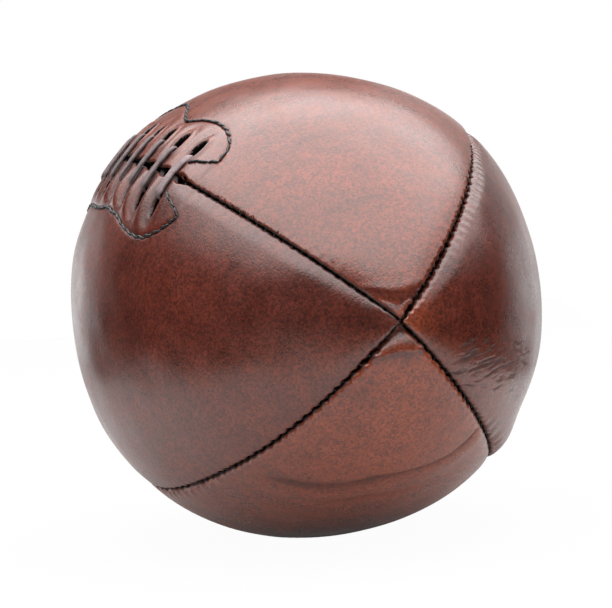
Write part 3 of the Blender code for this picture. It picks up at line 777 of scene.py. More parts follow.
def closed_shell(points, fine, thickness):
    """Vertices and faces of a closed sheet: a fine outer side, a plainer inner side, and its rim."""
    rows, columns = points.shape[:2]
    vertices = []
    steps = np.where(fine, 1, COARSE_STEP)
    outer = number_rows(points, range(rows), steps, vertices)
    kept = sorted({*range(0, rows, 2), rows - 1})
    inside = points - thickness * grid_normals(points)
    inner = number_rows(inside, kept, np.full(rows, INNER_STEP), vertices)
    faces = []
    for row in range(rows - 1):
        faces += strip(outer[row], outer[row + 1], steps[row], steps[row + 1])
    for first, second in zip(kept, kept[1:]):
        faces += strip(inner[second], inner[first], INNER_STEP, INNER_STEP)
        for column in (0, columns - 1):
            faces.append([*outer[first:second + 1, column], inner[second, column], inner[first, column]])
    for row in (0, rows - 1):
        faces += strip(outer[row], inner[row], 1, INNER_STEP)
    return np.array(vertices), faces


def mesh_of(vertices, faces):
    """A smooth mesh with its faces turned outwards."""
    mesh = bpy.data.meshes.new("piece")
    mesh.from_pydata([tuple(point) for point in vertices], [], [[int(i) for i in face] for face in faces])
    form = bmesh.new()
    form.from_mesh(mesh)
    bmesh.ops.recalc_face_normals(form, faces=form.faces)
    form.to_mesh(mesh)
    form.free()
    mesh.shade_smooth()
    return mesh


def sheet_mesh(points, thickness):
    """A closed sheet with its outer side on a grid of points."""
    return mesh_of(*closed_shell(points, np.ones(len(points), bool), thickness))


def tube_mesh(tubes):
    """A mesh of closed tubes, each given by its rings of points."""
    vertices = []
    faces = []
    for rings in tubes:
        sides = len(rings[0])
        first = len(vertices)
        last = first + (len(rings) - 1) * sides
        vertices += [point for ring in rings for point in ring]
        for low in range(first, last, sides):
            for side in range(sides):
                after = (side + 1) % sides
                faces.append([low + side, low + after, low + sides + after, low + sides + side])
        faces.append(list(range(first, first + sides)))
        faces.append(list(range(last, last + sides)))
    return mesh_of(vertices, faces)


def add_object(name, data):
    made = bpy.data.objects.new(name, data)
    bpy.context.scene.collection.objects.link(made)
    return made


def add_piece(name, mesh, material, slot, *nodes):
    """A piece of the ball that stands for CAD nodes and moves with their body."""
    piece = add_object(name, mesh)
    mesh.name = name
    mesh.materials.clear()
    mesh.materials.append(material)
    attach(piece, "ball")
    if nodes:
        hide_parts(*nodes)


def slot_cutters(panel):
    """Drop-shaped cutters, square to the leather, for one row of lace slots."""
    angles = circle(SLOT_SIDES)
    wide = np.sin(angles) * np.abs(np.sin(angles / 2)) ** SLOT_TAPER * SLOT_BULGE
    across = LACED_SIDES[panel] * between(*SLOT_ENDS[panel], (1 + np.cos(angles)) / 2)
    tubes = []
    for place in bar_places():
        along = slot_place(panel, place) + wide * SLOT_WIDTHS[panel] / 2
        tubes.append([by_lacing(along, across, height) for height in (-4 * LEATHER, 4 * LEATHER)])
    return add_object("slot_cutter", tube_mesh(tubes))


def cut_slots(mesh, panel):
    """The mesh with one row of lace slots cut through it."""
    cutter = slot_cutters(panel)
    item = add_object("uncut", mesh)
    boolean = item.modifiers.new("Slots", "BOOLEAN")
    boolean.operation = "DIFFERENCE"
    boolean.solver = "MANIFOLD"
    boolean.object = cutter
    bpy.context.view_layer.update()
    made = bpy.data.meshes.new_from_object(item.evaluated_get(bpy.context.evaluated_depsgraph_get()))
    for done in (item, cutter):
        bpy.data.objects.remove(done, do_unlink=True)
    return made


def read(items, field):
    """One vector of each item of a mesh."""
    values = np.empty(len(items) * 3)
    items.foreach_get(field, values)
    return values.reshape(-1, 3)


def hide_places(points, panel):
    """Places of points on a panel: along the cover, the profile's angle, and distances from both seams."""
    turn = np.arccos(np.clip(points[:, 0] / HALF_LENGTH, -1, 1))
    radius = np.hypot(points[:, 1], points[:, 2])
    angle = np.arctan2(points[:, 2], points[:, 1])
    apart = [np.angle(np.exp(1j * (angle - seam_angle(panel + side, turn)))) * radius for side in (0, 1)]
    return along_at(turn), turn, apart


def from_lacing(panel, apart):
    return np.abs(apart[0] if panel == LEFT else apart[1])


def paint_wear_and_light(panel, points, along, share):
    """Tan on a panel: wear at the tip and where it rubs, painted light from above and below, and none on the
    step round the tip, as painted shade.
    """
    from_front = np.linalg.norm(points - (HALF_LENGTH, 0, 0), axis=1)
    wear_and_painted_light = np.maximum(WORN_TIPS[panel] * hump(from_front, WORN_TIP_REACHES[panel]), PANEL_WEAR_AND_LIGHT[panel])
    if panel == BOTTOM:
        wear_and_painted_light = wear_and_painted_light * (1 - band(share, *LESS_WEAR_AND_LIGHT_BAND))
        wear_and_painted_light = np.maximum(wear_and_painted_light, hump(np.linalg.norm(points - WEAR_AND_LIGHT_PLACE, axis=1), WEAR_AND_LIGHT_REACH))
    if panel in LOWER_PAINTED_LIGHT_BANDS:
        wear_and_painted_light = np.maximum(wear_and_painted_light, band(share, *LOWER_PAINTED_LIGHT_BANDS[panel]))
    # Painted shade: the tan is taken away on the step round the tip, leaving a dark band.
    past = from_tip(along) - tip_ring(panel, share) + TIP_PAINTED_SHADE_DEPTHS[panel]
    return wear_and_painted_light * (1 - TIP_PAINTED_SHADE[panel] * hump(past, TIP_PAINTED_SHADE_REACH))


def painted_shade(panel, points, along, apart, share):
    """Painted shade on a panel: in creases, wrinkles and fold valleys, under and beside the lace's bars, and
    in its slots.
    """
    if panel == BOTTOM:
        return CREASE_PAINTED_SHADE * smooth(-bottom_creases(points, along, share) / CREASE_PAINTED_SHADE_DEPTH)
    if panel == RIGHT:
        return WRINKLE_PAINTED_SHADE * smooth(-right_wrinkles(along, apart[0]) / (0.8 * WRINKLE_DEPTH))
    across = from_lacing(panel, apart)
    total = np.zeros_like(across)
    if panel == LEFT:
        total = FOLD_PAINTED_SHADE * smooth(0.2 - lacing_folds(panel, along, across) / FOLD_DEPTHS[panel])
    # Painted shadow under and beside each bar of the lace, and painted shade in and round each slot.
    for place in bar_places():
        lean = bar_lean(place) * smooth(across / LACE_HOLE) * (panel == TOP)
        under = raised(along, LACE_PAINTED_SHADOW, place + lean, LACE_PAINTED_SHADOW_REACH) * band(across, *LACE_PAINTED_SHADOW_ENDS)
        in_slot = band(from_slot(panel, place, along, across), *SLOT_PAINTED_SHADE)
        total = np.maximum(total, np.maximum(under, in_slot))
    return total


def mark_leather(mesh, panel):
    """Stores how near each point is to a seam, its fraying, its wear and painted light, its painted shade,
    and its place on the hide.
    """
    points = read(mesh.vertices, "co")
    along, turn, apart = hide_places(points, panel)
    share = np.clip(apart[0] / panel_width(turn, panel), 0, 1)
    frayed = np.zeros(len(points))
    for side, strength in enumerate(FRAYED_EDGES[panel]):
        near = np.clip(1 - np.abs(apart[side]) / FRAYED_REACH, 0, 1)
        frayed = np.maximum(frayed, strength * turned_in(turn, panel + side) * near)
    values = {
        "seam": hump(np.min(np.abs(apart), axis=0), SEAM_SHADE),
        "frayed": frayed,
        "wear_and_painted_light": paint_wear_and_light(panel, points, along, share),
        "painted_shade": painted_shade(panel, points, along, apart, share),
    }
    for name, value in values.items():
        mesh.attributes.new(name, "FLOAT", "POINT").data.foreach_set("value", value.astype(np.float32))
    hide = np.stack((along, apart[0], np.full(len(points), HIDE_STEP * panel)), axis=1)
    stored = mesh.attributes.new("hide", "FLOAT_VECTOR", "POINT")
    stored.data.foreach_set("vector", hide.astype(np.float32).ravel())


def mark_raw_edges(mesh, panel):
    """Gives the second material to faces square to the cover: slot walls and the seams' insides."""
    middles = read(mesh.polygons, "center")
    outward = unit(middles / np.array((HALF_LENGTH, RADIUS, RADIUS)) ** 2)
    raw = np.sum(outward * read(mesh.polygons, "normal"), axis=1) < RAW_FACING
    if panel in LACED_SIDES:
        along, _, apart = hide_places(middles, panel)
        for place in bar_places():
            raw |= from_slot(panel, place, along, from_lacing(panel, apart)) < RAW_RIM
    mesh.polygons.foreach_set("material_index", raw.astype(np.int32))


def make_panel(panel, material, raw_material):
    """One leather panel, pressed flat where the ball rests, and slotted beside the lacing."""
    vertices, faces = closed_shell(*panel_grid(panel), LEATHER)
    if panel == BOTTOM:
        vertices[:, 2] = np.maximum(vertices[:, 2], LOWEST_LEATHER)
    mesh = mesh_of(vertices, faces)
    if panel in LACED_SIDES:
        mesh = cut_slots(mesh, panel)
    mark_leather(mesh, panel)
    add_piece("leather_" + PANELS[panel], mesh, material, "cover_leather", "panel_" + PANELS[panel])
    mesh.materials.append(raw_material)
    mark_raw_edges(mesh, panel)


# Lace and threads.


def square_to(ahead, vectors):
    """Directions of vectors, turned square to the way ahead."""
    return unit(vectors - ahead * np.sum(vectors * ahead, axis=1, keepdims=True))


def rings_round(middles, sideways, side, upward, up):
    """Rings of points round a line, from their offsets in two directions at each of its points."""
    return middles[:, None] + sideways[..., None] * side[:, None] + upward[..., None] * up[:, None]


def run_lengths(points):
    """The length of a line up to each of its points."""
    return np.concatenate(([0], np.cumsum(np.linalg.norm(np.diff(points, axis=0), axis=1))))


def slot_passage(hole):
    """The lace's way up through a slot: distance from the seam, height, and how far it is squeezed."""
    step = LACE_THICKNESS * 2 / 3
    return [
        (hole - 3 * step, -LACE_UNDER, 0.0),
        (hole - step, -LACE_UNDER + CLEARANCE, 0.7),
        (hole, -(LEATHER + PATCH_BOTTOM) / 2, 1.0),
        (hole, -LEATHER / 2, 1.0),
        (hole - step / 2, LACE_OVER - step / 2, 0.8),
        (hole - 2 * step, LACE_OVER, 0.0),
    ]


def lace_route():
    """The lace's stations: along, across, height, how squeezed, and how wide. It goes up on the top side."""
    inner = slot_passage(LACE_HOLE)[0][0]
    places = bar_places()
    route = [(places[0] + LACE_TAIL, -inner, -LACE_UNDER, 0.0, 1.0)]
    for bar, along in enumerate(places):
        wide = FIRST_BAR_WIDTH if bar == 0 else 1.0
        up = slot_passage(LACE_HOLE + LACE_HOLE_SPREAD * float(smooth(bar / LACE_SPREAD_BARS)))
        down = slot_passage(LACE_HOLE)
        route += [(along, -across, height, squeeze, wide) for across, height, squeeze in up]
        route += [(along, across, LACE_OVER, 0.0, wide) for across in (-inner / 2, 0, inner / 2)]
        route += [(along, across, height, squeeze, wide) for across, height, squeeze in reversed(down)]
        if bar + 1 < BAR_COUNT:
            for share in (1 / 3, 2 / 3):
                crossing = between(along, places[bar + 1], share)
                route.append((crossing, between(inner, -inner, share), -LACE_UNDER, 0.0, 1.0))
    route.append((places[-1] - LACE_TAIL, inner, -LACE_UNDER, 0.0, 1.0))
    return np.array(route)


def rounded(route, cuts):
    """A smooth line through stations, with a number of points for each stretch."""
    padded = np.concatenate((2 * route[:1] - route[1:2], route, 2 * route[-1:] - route[-2:-1]))
    share = np.linspace(0, 1, cuts, endpoint=False)[:, None]
    pieces = []
    for i in range(1, len(padded) - 2):
        before, start, end, after = padded[i - 1:i + 3]
        pieces.append(0.5 * (
            2 * start
            + (end - before) * share
            + (2 * before - 5 * start + 4 * end - after) * share ** 2
            + (3 * start - before - 3 * end + after) * share ** 3
        ))
    return np.concatenate(pieces + [route[-1:]])


def leather_height(panel, along, across):
    """Height of the leather beside the lacing, over the plain cover."""
    turn = turn_at(along)
    width = panel_width(turn, panel)
    return panel_relief(panel, turn, from_laced_seam(panel, across, width), width)


def lacing_height(along, across):
    """Height of the cover under the lace, without the lips of the slots and the folds."""
    points = by_lacing(along, across, 0)
    return broad_swell(points) - oval(points) - LACING_SINK * hump(across, LACING_REACH)


def squared(offsets, power):
    """Offsets of points on a circle, pushed out towards a square."""
    return np.sign(offsets) * np.abs(offsets) ** power


def make_lace(material):
    """One flat thong with rounded edges, squeezed where it goes through the slots."""
    route = rounded(lace_route(), LACE_CUTS)
    along, across, height, squeeze, wideness = route.T
    squeeze = np.clip(squeeze, 0, 1)
    along = along + bar_lean(along) * smooth(-across / LACE_HOLE)
    middles = by_lacing(along, across, height + lacing_height(along, across))
    ahead = unit(np.gradient(middles, axis=0))
    forward = by_lacing(along + LACE_WIDTH, across, height) - by_lacing(along - LACE_WIDTH, across, height)
    flat = square_to(ahead, forward)
    half_width = LACE_LOOK_WIDTH / 2 * wideness * between(1.0, SQUEEZED_WIDTH, squeeze)
    half_width = half_width * (1 + LACE_UNEVEN * np.sin(np.arange(len(route)) * LACE_UNEVEN_STEP))
    half_thickness = LACE_LOOK_THICKNESS / 2 * between(1.0, SQUEEZED_THICKNESS, squeeze)
    angles = circle(LACE_SIDES)
    wide = np.outer(half_width, squared(np.cos(angles), LACE_SQUARENESS[0]))
    thick = np.outer(half_thickness, squared(np.sin(angles), LACE_SQUARENESS[1]))
    rings = rings_round(middles, wide, flat, thick, np.cross(ahead, flat))
    add_piece("lace_thong", tube_mesh([rings]), material, "lace_leather", "lace")


def thread(points, diameter, twist_length, taper, end_width=0.45):
    """Rings of a twisted two-strand thread along points, drawn thin at both ends."""
    ahead = unit(np.gradient(points, axis=0))
    up = square_to(ahead, points)
    lengths = run_lengths(points)[:, None]
    angles = circle(THREAD_SIDES)
    ends = np.minimum(lengths, lengths[-1] - lengths) / taper
    radii = diameter / 2 * between(end_width, 1.0, smooth(ends))
    radii = radii * (1 + THREAD_TWIST * np.cos(2 * angles - 2 * math.pi * lengths / twist_length))
    return rings_round(points, radii * np.cos(angles), np.cross(ahead, up), radii * np.sin(angles), up)


def stitch_ends(panel):
    """Ends of the patch's stitches along and across the lacing, from one end of the slit to the other."""
    start = SLIT_HALF + STITCH_THREAD
    along = np.linspace(STITCH_HALF, -STITCH_HALF, 400)
    outline = np.stack((along, stitch_distance(panel, along)), axis=1)
    corner = np.linspace(0, 1, 30)[:, None]
    first = between(np.array((start, STITCH_START)), outline[0], corner)
    last = between(outline[-1], np.array((-start, STITCH_START)), corner)
    route = np.concatenate((first, outline, last))
    lengths = run_lengths(route)
    marks = np.linspace(0, lengths[-1], round(lengths[-1] / PATCH_STITCH) + 1)
    return np.stack([np.interp(marks, lengths, values) for values in route.T], axis=1)


def make_patch_stitches(panel, material):
    """The slanted stitches along the outline of the lacing's patch."""
    ends = stitch_ends(panel)
    random = np.random.default_rng(5)
    stitches = []
    for first, last in zip(ends, ends[1:]):
        direction = (last - first) / np.linalg.norm(last - first)
        slant = np.array((-direction[1], direction[0])) * random.uniform(*PATCH_STITCH_SLANTS)
        start = random.uniform(*PATCH_STITCH_STARTS)
        share = np.linspace(start, random.uniform(*PATCH_STITCH_STOPS), 14)[:, None]
        along, across = between(first - slant, last + slant, share).T
        arch = np.sin(math.pi * np.linspace(0, 1, len(along))) ** 0.6
        height = leather_height(panel, along, across) + STITCH_THREAD * between(*PATCH_STITCH_HEIGHTS, arch)
        points = by_lacing(along, LACED_SIDES[panel] * across, height)
        diameter = STITCH_THREAD * random.uniform(*PATCH_STITCH_SIZES)
        stitches.append(thread(points, diameter, *PATCH_STITCH_TWIST))
    mesh = tube_mesh(stitches)
    name = PANELS[panel]
    add_piece("patch_stitches_" + name, mesh, material, "black_thread", "patch_stitching_" + name)


def edge_sink(seam, side):
    """How deep the edge of the panel on one side of a seam lies."""
    return PILLOW_DEPTHS[(seam - (side < 0)) % len(PANELS)][int(side < 0)]


def by_seam(seam, panel, along, from_seam, height, sink):
    """Points beside a seam, lowered by the oval section, the sunken edges and the step at the tips."""
    turn = turn_at(along)
    points = cover(turn, seam + from_seam / panel_width(turn, panel), height)
    past = from_tip(along) - TIP_RINGS_AT_SEAMS[TOP][0]
    lowered = oval(points, turn) + TIP_SINKS_AT_SEAMS[TOP] * tip_step(TOP, past)
    lowered = lowered + sink * off_tip(along, *PILLOW_OFF_TIP)
    return points - unit(points) * lowered[:, None]


def make_seam_stitches(name, seam, first, last, material):
    """Short stitches across the bottom of one seam's groove, between two distances along it."""
    random = np.random.default_rng(seam + 40)
    sink = max(edge_sink(seam, -1), edge_sink(seam, 1))
    share = np.linspace(-1, 1, 7)
    stitches = []
    for along in np.arange(first, last, STITCH_PITCH):
        slant, lower = [random.uniform(-most, most) for most in SEAM_STITCH_SCATTER]
        slant = SEAM_STITCH_SLANT + slant
        depth = SEAM_STITCH_DEPTH + SEAM_STITCH_RISE * np.square(share) + lower
        points = by_seam(seam, seam, along + slant * share, SEAM_STITCH_HALF * share, -depth, sink)
        stitches.append(thread(points, SEAM_THREAD, *SEAM_STITCH_TWIST))
    add_piece("seam_stitches_" + name, tube_mesh(stitches), material, "black_thread", "seam_thread_" + name)


def make_fibres(material):
    """Short frayed fibres standing out of the two upper seams."""
    random = np.random.default_rng(71)
    share = np.linspace(0, 1, 4)
    fibres = []
    stretches = ((LACED_SEAM, -1, SLIT_HALF - 0.003, 0.0007), (UPPER_RIGHT, 1, -0.12, 0.0010))
    for seam, side, first, step in stretches:
        for along in np.arange(first, HALF_ARC - FIBRES_OFF_TIP, step):
            line = along + random.uniform(-FIBRE_SCATTER, FIBRE_SCATTER)
            line = line + random.uniform(-FIBRE_LEAN, FIBRE_LEAN) * share
            across = side * between(random.uniform(*FIBRE_ROOTS), random.uniform(*FIBRE_ENDS), share)
            end_height = random.uniform(*FIBRE_END_HEIGHTS)
            height = between(FIBRE_ROOT_HEIGHT, end_height, np.sin(share * math.pi / 2))
            points = by_seam(seam, TOP, line, across, height, edge_sink(seam, side))
            fibres.append(thread(points, random.uniform(*FIBRE_SIZES), *FIBRE_TWIST))
    add_piece("seam_fibres", tube_mesh(fibres), material, "cover_leather")


def make_threads(material):
    tip = HALF_ARC - STITCHES_OFF_END
    slit = SLIT_HALF + STITCHES_OFF_END
    for seam, name in enumerate(SEAMS):
        if seam == LACED_SEAM:
            make_seam_stitches(name + "_front", seam, slit, tip, material)
            make_seam_stitches(name + "_back", seam, -tip, -slit, material)
        else:
            make_seam_stitches(name, seam, -tip, tip, material)
    for panel in LACED_SIDES:
        make_patch_stitches(panel, material)


# Pieces inside the cover.


def make_tongue(material):
    """The leather flap under the lacing, with rounded corners."""
    share = np.linspace(-1, 1, TONGUE_GRID[0])
    half_width = TONGUE_WIDTH / 2 * (1 - TONGUE_CORNER * share ** TONGUE_SQUARENESS)
    across = np.linspace(-1, 1, TONGUE_GRID[1])[:, None] * half_width
    along = np.broadcast_to((SLIT_HALF + TONGUE_BEYOND_SLIT) * share, across.shape)
    points = by_lacing(along, across, lacing_height(along, across) - TONGUE_DEPTH)
    add_piece("tongue_leather", sheet_mesh(points, TONGUE_THICKNESS), material, "inner_leather", "tongue")


def make_lace_patch(panel, material):
    """The patch behind one row of slots, from the slit out past its stitches."""
    share = np.linspace(1, -1, PATCH_GRID[0])
    inner = np.stack((share * SLIT_HALF, np.full_like(share, SEAM_GAP / 2 + LAYER_GAP)))
    edge = stitch_distance(panel, share * STITCH_HALF) + PATCH_MARGIN
    outer = np.stack((share * (STITCH_HALF + PATCH_MARGIN), edge))
    along, across = between(inner[:, None], outer[:, None], np.linspace(0, 1, PATCH_GRID[1])[:, None])
    height = leather_height(panel, along, across) - LINING_DEPTH
    mesh = sheet_mesh(by_lacing(along, LACED_SIDES[panel] * across, height), PATCH_THICKNESS)
    mesh = cut_slots(mesh, panel)
    name = PANELS[panel]
    add_piece("patch_leather_" + name, mesh, material, "inner_leather", "lace_patch_" + name)


def make_end_patch(name, facing, material):
    """The dished disc behind the tips of the panels at one end."""
    shares = np.linspace(-1, 1, END_PATCH_GRID)
    first, second = np.meshgrid(shares, shares)
    sideways = END_PATCH_RADIUS * first * np.sqrt(1 - np.square(second) / 2)
    upward = END_PATCH_RADIUS * second * np.sqrt(1 - np.square(first) / 2)
    radius = np.hypot(sideways, upward)
    turn = np.arcsin((radius / RADIUS) ** (1 / END_SHARPNESS))
    dish = max(TIP_SINKS) * (1 - smooth(radius / END_PATCH_RADIUS))
    axial = profile(turn)[0] - LINING_DEPTH - dish
    mesh = sheet_mesh(np.stack((facing * axial, sideways, upward), axis=-1), END_PATCH_THICKNESS)
    add_piece("tip_patch_" + name, mesh, material, "inner_leather", "end_patch_" + name)


def lining_inset(turn, seam):
    """Distance of the lining's edge from a seam, which clears the flange or, by the lacing, the patch."""
    inset = SEAM_GAP / 2 + SEAM_ROLL + LAYER_GAP
    if seam != LACED_SEAM:
        return inset
    wide = STITCH_LOBE + PATCH_MARGIN + LAYER_GAP
    past_patch = np.abs(along_at(turn)) - STITCH_HALF - PATCH_MARGIN - LAYER_GAP
    return between(wide, inset, smooth(past_patch / wide))


def make_lining(panel, material):
    """The canvas under one panel, which follows the panel's own relief."""
    name = PANELS[panel]
    low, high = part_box("lining_" + name)
    turn = np.linspace(math.acos(high.x / HALF_LENGTH), math.acos(low.x / HALF_LENGTH), LINING_GRID[0])
    width = panel_width(turn, panel)
    share = np.linspace(0, 1, LINING_GRID[1])[:, None]
    from_start = between(lining_inset(turn, panel), width - lining_inset(turn, panel + 1), share)
    height = panel_relief(panel, turn, from_start, width) - LINING_DEPTH
    mesh = sheet_mesh(cover(turn, panel + from_start / width, height), CANVAS)
    add_piece("canvas_" + name, mesh, material, "lining_canvas", "lining_" + name)


def make_bladder(material):
    """The inflated rubber skin: grooved under the seams, with a pocket for its neck under the lacing."""
    place = np.linspace(0, len(SEAMS), BLADDER_GRID[1], endpoint=False)
    groove = SEAM_FLANGE + 2 * LAYER_GAP - BLADDER_DEPTH
    groove = groove * hump(np.abs(place - np.round(place)), GROOVE_SPREAD)
    rings = []
    for turn in np.linspace(TIP_TURN, math.pi - TIP_TURN, BLADDER_GRID[0]):
        pocket = max(0.0, profile(turn)[1] - RADIUS + POCKET_DEPTH - BLADDER_DEPTH)
        pocket = pocket * smooth((STITCH_HALF + TONGUE_WIDTH - np.abs(along_at(turn))) / TONGUE_WIDTH)
        deeper = np.maximum(groove, pocket * hump(place - LACED_SEAM, POCKET_SPREAD))
        rings.append(cover(np.full_like(place, turn), place, -BLADDER_DEPTH - deeper))
    add_piece("bladder_skin", tube_mesh([rings]), material, "bladder_rubber", "bladder")


def make_inside():
    """The pieces inside the cover. The bladder's neck and its stopper keep their CAD shapes."""
    leather = inner_leather()
    make_tongue(leather)
    for panel in LACED_SIDES:
        make_lace_patch(panel, leather)
    make_end_patch("front", 1, leather)
    make_end_patch("back", -1, leather)
    canvas = lining_canvas()
    for panel in range(len(PANELS)):
        make_lining(panel, canvas)
    rubber = bladder_rubber()
    make_bladder(rubber)
    for node, material in (("bladder_neck", rubber), ("neck_stopper", stopper_wood())):
        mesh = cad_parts[node].data
        mesh.materials.clear()
        mesh.materials.append(material)


# Materials.

DARK_BROWN = (0.056, 0.0090, 0.0050)
RED_BROWN = (0.126, 0.0210, 0.0100)
TAN = (0.260, 0.0520, 0.0190)
SEAM_BLACK = (0.006, 0.003, 0.0025)
FRAYED_BROWN = (0.013, 0.0052, 0.0034)
PEBBLE = 0.0008
WEAVE = 0.0045
WOOD_RING = 0.004


class Nodes:
    """The nodes of a material or world, and short ways to add to them."""

    def __init__(self, owner):
        owner.use_nodes = True
        self.owner = owner
        self.tree = owner.node_tree

    def join(self, value, socket):
        """Links a value to a socket, or sets it there. A colour is (red, green, blue)."""
        if isinstance(value, bpy.types.NodeSocket):
            self.tree.links.new(value, socket)
        else:
            socket.default_value = (*value, 1) if socket.type == "RGBA" else value

    def add(self, kind, inputs=None, **settings):
        made = self.tree.nodes.new("ShaderNode" + kind)
        for name, value in settings.items():
            setattr(made, name, value)
        for name, value in (inputs or {}).items():
            self.join(value, made.inputs[name])
        return made

    def stretched(self, value, low, high, to_low=0.0, to_high=1.0):
        inputs = {"Value": value, "From Min": low, "From Max": high, "To Min": to_low, "To Max": to_high}
        return self.add("MapRange", inputs).outputs["Result"]

    def maths(self, operation, first, second):
        return self.add("Math", {0: first, 1: second}, operation=operation).outputs[0]

    def weighted(self, *terms):
        """The sum of values, each times its weight."""
        total, *others = [self.maths("MULTIPLY", value, weight) for value, weight in terms]
        for other in others:
            total = self.maths("ADD", total, other)
        return total


class Shading(Nodes):
    """A new material of one shader."""

    def __init__(self, name):
        super().__init__(bpy.data.materials.new(name))
        self.shader = self.tree.nodes["Principled BSDF"]
        self.place = self.add("TexCoord").outputs["Object"]

    def noise(self, size, detail=4.0, rough=0.6, place=None):
        """Cloudy values from 0 to 1, with features of a size in metres."""
        inputs = {"Vector": place or self.place, "Scale": 1 / size, "Detail": detail, "Roughness": rough}
        return self.add("TexNoise", inputs).outputs["Fac"]

    def stripes(self, size, axis, distortion, detail):
        inputs = {"Vector": self.place, "Scale": 1 / size, "Distortion": distortion, "Detail": detail}
        return self.add("TexWave", inputs, bands_direction=axis).outputs["Fac"]

    def marked(self, name):
        return self.add("Attribute", attribute_name=name).outputs["Fac"]

    def along_ball(self):
        return self.add("SeparateXYZ", {"Vector": self.place}).outputs["X"]

    def mixed(self, share, first, second, blend="MIX"):
        inputs = {0: share, 6: first, 7: second}
        return self.add("Mix", inputs, data_type="RGBA", blend_type=blend).outputs[2]

    def finish(self, colour, roughness, bump, **constants):
        """Joins the colour, the roughness and a bump, given by its height, depth and strength."""
        height, depth, strength = bump
        bumped = self.add("Bump", {"Height": height, "Distance": depth, "Strength": strength})
        linked = {"Base Color": colour, "Roughness": roughness, "Normal": bumped.outputs["Normal"]}
        for name, value in linked.items():
            self.join(value, self.shader.inputs[name])
        for name, value in constants.items():
            self.shader.inputs[name.replace("_", " ")].default_value = value
        return self.owner


def cover_leather():
    """Waxed cowhide: cloudy red-brown with a fine grain, tan streaks of wear and painted light, painted
    shade, and frayed seam edges.
    """
    look = Shading("cover_leather")
    hide = look.add("Attribute", attribute_name="hide").outputs["Vector"]
    drawn = look.add("Mapping", {"Vector": hide, "Scale": (1.0, 0.22, 1.0)}).outputs[0]
    clouds = look.noise(0.060, 5.0)
    blotches = look.noise(0.012, 5.0)
    streaks = look.noise(0.006, place=drawn)
    specks = look.noise(0.0010, 3.0, 0.65)
    cells = look.add("TexVoronoi", {"Vector": look.place, "Scale": 1 / PEBBLE}).outputs
    pebbles = look.add("SeparateColor", {"Color": cells["Color"]}).outputs[0]
    shade = look.weighted((clouds, 0.45), (blotches, 0.35), (streaks, 0.20))
    colour = look.mixed(look.stretched(shade, 0.38, 0.62), DARK_BROWN, RED_BROWN)
    patches = look.weighted((blotches, 0.5), (streaks, 0.5))
    # Tan for wear, with painted light on the top panel and the lower parts of the ball.
    wear_and_painted_light = look.maths("MULTIPLY", look.marked("wear_and_painted_light"), look.stretched(patches, 0.30, 0.68, 0.50, 1.15))
    colour = look.mixed(wear_and_painted_light, colour, TAN)
    # Painted shade darkens the colour and roughens the leather in creases, folds, slots and under the lace's
    # bars.
    unshaded = look.stretched(look.marked("painted_shade"), 0.0, 1.0, 1.0, 0.22)
    grain = look.maths("MULTIPLY", look.stretched(pebbles, 0.0, 1.0, 0.56, 1.44), unshaded)
    tone = look.add("CombineColor", {"Red": grain, "Green": grain, "Blue": grain}).outputs[0]
    colour = look.mixed(1.0, colour, tone, "MULTIPLY")
    tufts = look.maths("SUBTRACT", look.noise(0.0024, 4.0, 0.65), 0.5)
    frayed = look.stretched(look.weighted((look.marked("frayed"), 1.0), (tufts, 1.5)), 0.50, 0.78)
    frayed = look.maths("MULTIPLY", frayed, look.stretched(look.marked("frayed"), 0.0, 0.15))
    colour = look.mixed(look.maths("MULTIPLY", frayed, 0.88), colour, FRAYED_BROWN)
    seam = look.stretched(look.weighted((look.marked("seam"), 1.0), (specks, 0.3)), 0.40, 1.0)
    colour = look.mixed(seam, colour, SEAM_BLACK)
    creases = look.noise(0.0065, 6.0, 0.65)
    domes = look.stretched(cells["Distance"], 0.0, 0.7, 0.22, 0.0)
    height = look.weighted((specks, 0.10), (domes, 1.0), (creases, 0.75))
    waxed = look.stretched(look.maths("ADD", blotches, specks), 0.6, 1.4, 0.22, 0.38)
    roughness = look.weighted((waxed, 1.0), (seam, 0.5), (frayed, 0.5), (look.marked("painted_shade"), 0.5))
    return look.finish(colour, roughness, (height, 0.0004, 0.36), Specular_IOR_Level=0.75)


def raw_edge():
    """The dark cut edge of the leather inside the seams and slots, flecked with tan by the front tip."""
    look = Shading("raw_edge")
    fibres = look.noise(0.0006, 4.0, 0.65)
    colour = look.mixed(look.stretched(fibres, 0.35, 0.7), (0.004, 0.002, 0.0018), (0.020, 0.008, 0.005))
    by_tip = look.stretched(look.along_ball(), 0.122, 0.133, 0.0, 0.8)
    flecks = look.stretched(look.noise(0.004), 0.42, 0.60)
    colour = look.mixed(look.maths("MULTIPLY", by_tip, flecks), colour, (0.130, 0.050, 0.024))
    # Painted shade: nearly black where the leather carries painted shade, as in the slots.
    colour = look.mixed(look.stretched(look.marked("painted_shade"), 0.4, 1.0), colour, (0.0020, 0.0012, 0.0010))
    roughness = look.stretched(fibres, 0.3, 0.7, 0.85, 0.98)
    return look.finish(colour, roughness, (fibres, 0.0002, 0.5), Specular_IOR_Level=0.04)


def lace_leather():
    """Pale greyish thong, cut from suede-backed hide, with fine fibres, darker behind its first bar."""
    look = Shading("lace_leather")
    fibres = look.noise(0.0006, 3.0)
    patches = look.stretched(look.noise(0.005), 0.3, 0.7)
    colour = look.mixed(patches, (0.150, 0.102, 0.104), (0.280, 0.205, 0.212))
    colour = look.mixed(look.stretched(fibres, 0.35, 0.75, 0.0, 0.5), colour, (0.070, 0.042, 0.042))
    behind = look.stretched(look.along_ball(), 0.046, 0.051, 0.40, 0.0)
    colour = look.mixed(behind, colour, (0.050, 0.036, 0.038))
    return look.finish(colour, look.stretched(fibres, 0.3, 0.7, 0.45, 0.62), (fibres, 0.0003, 0.35))


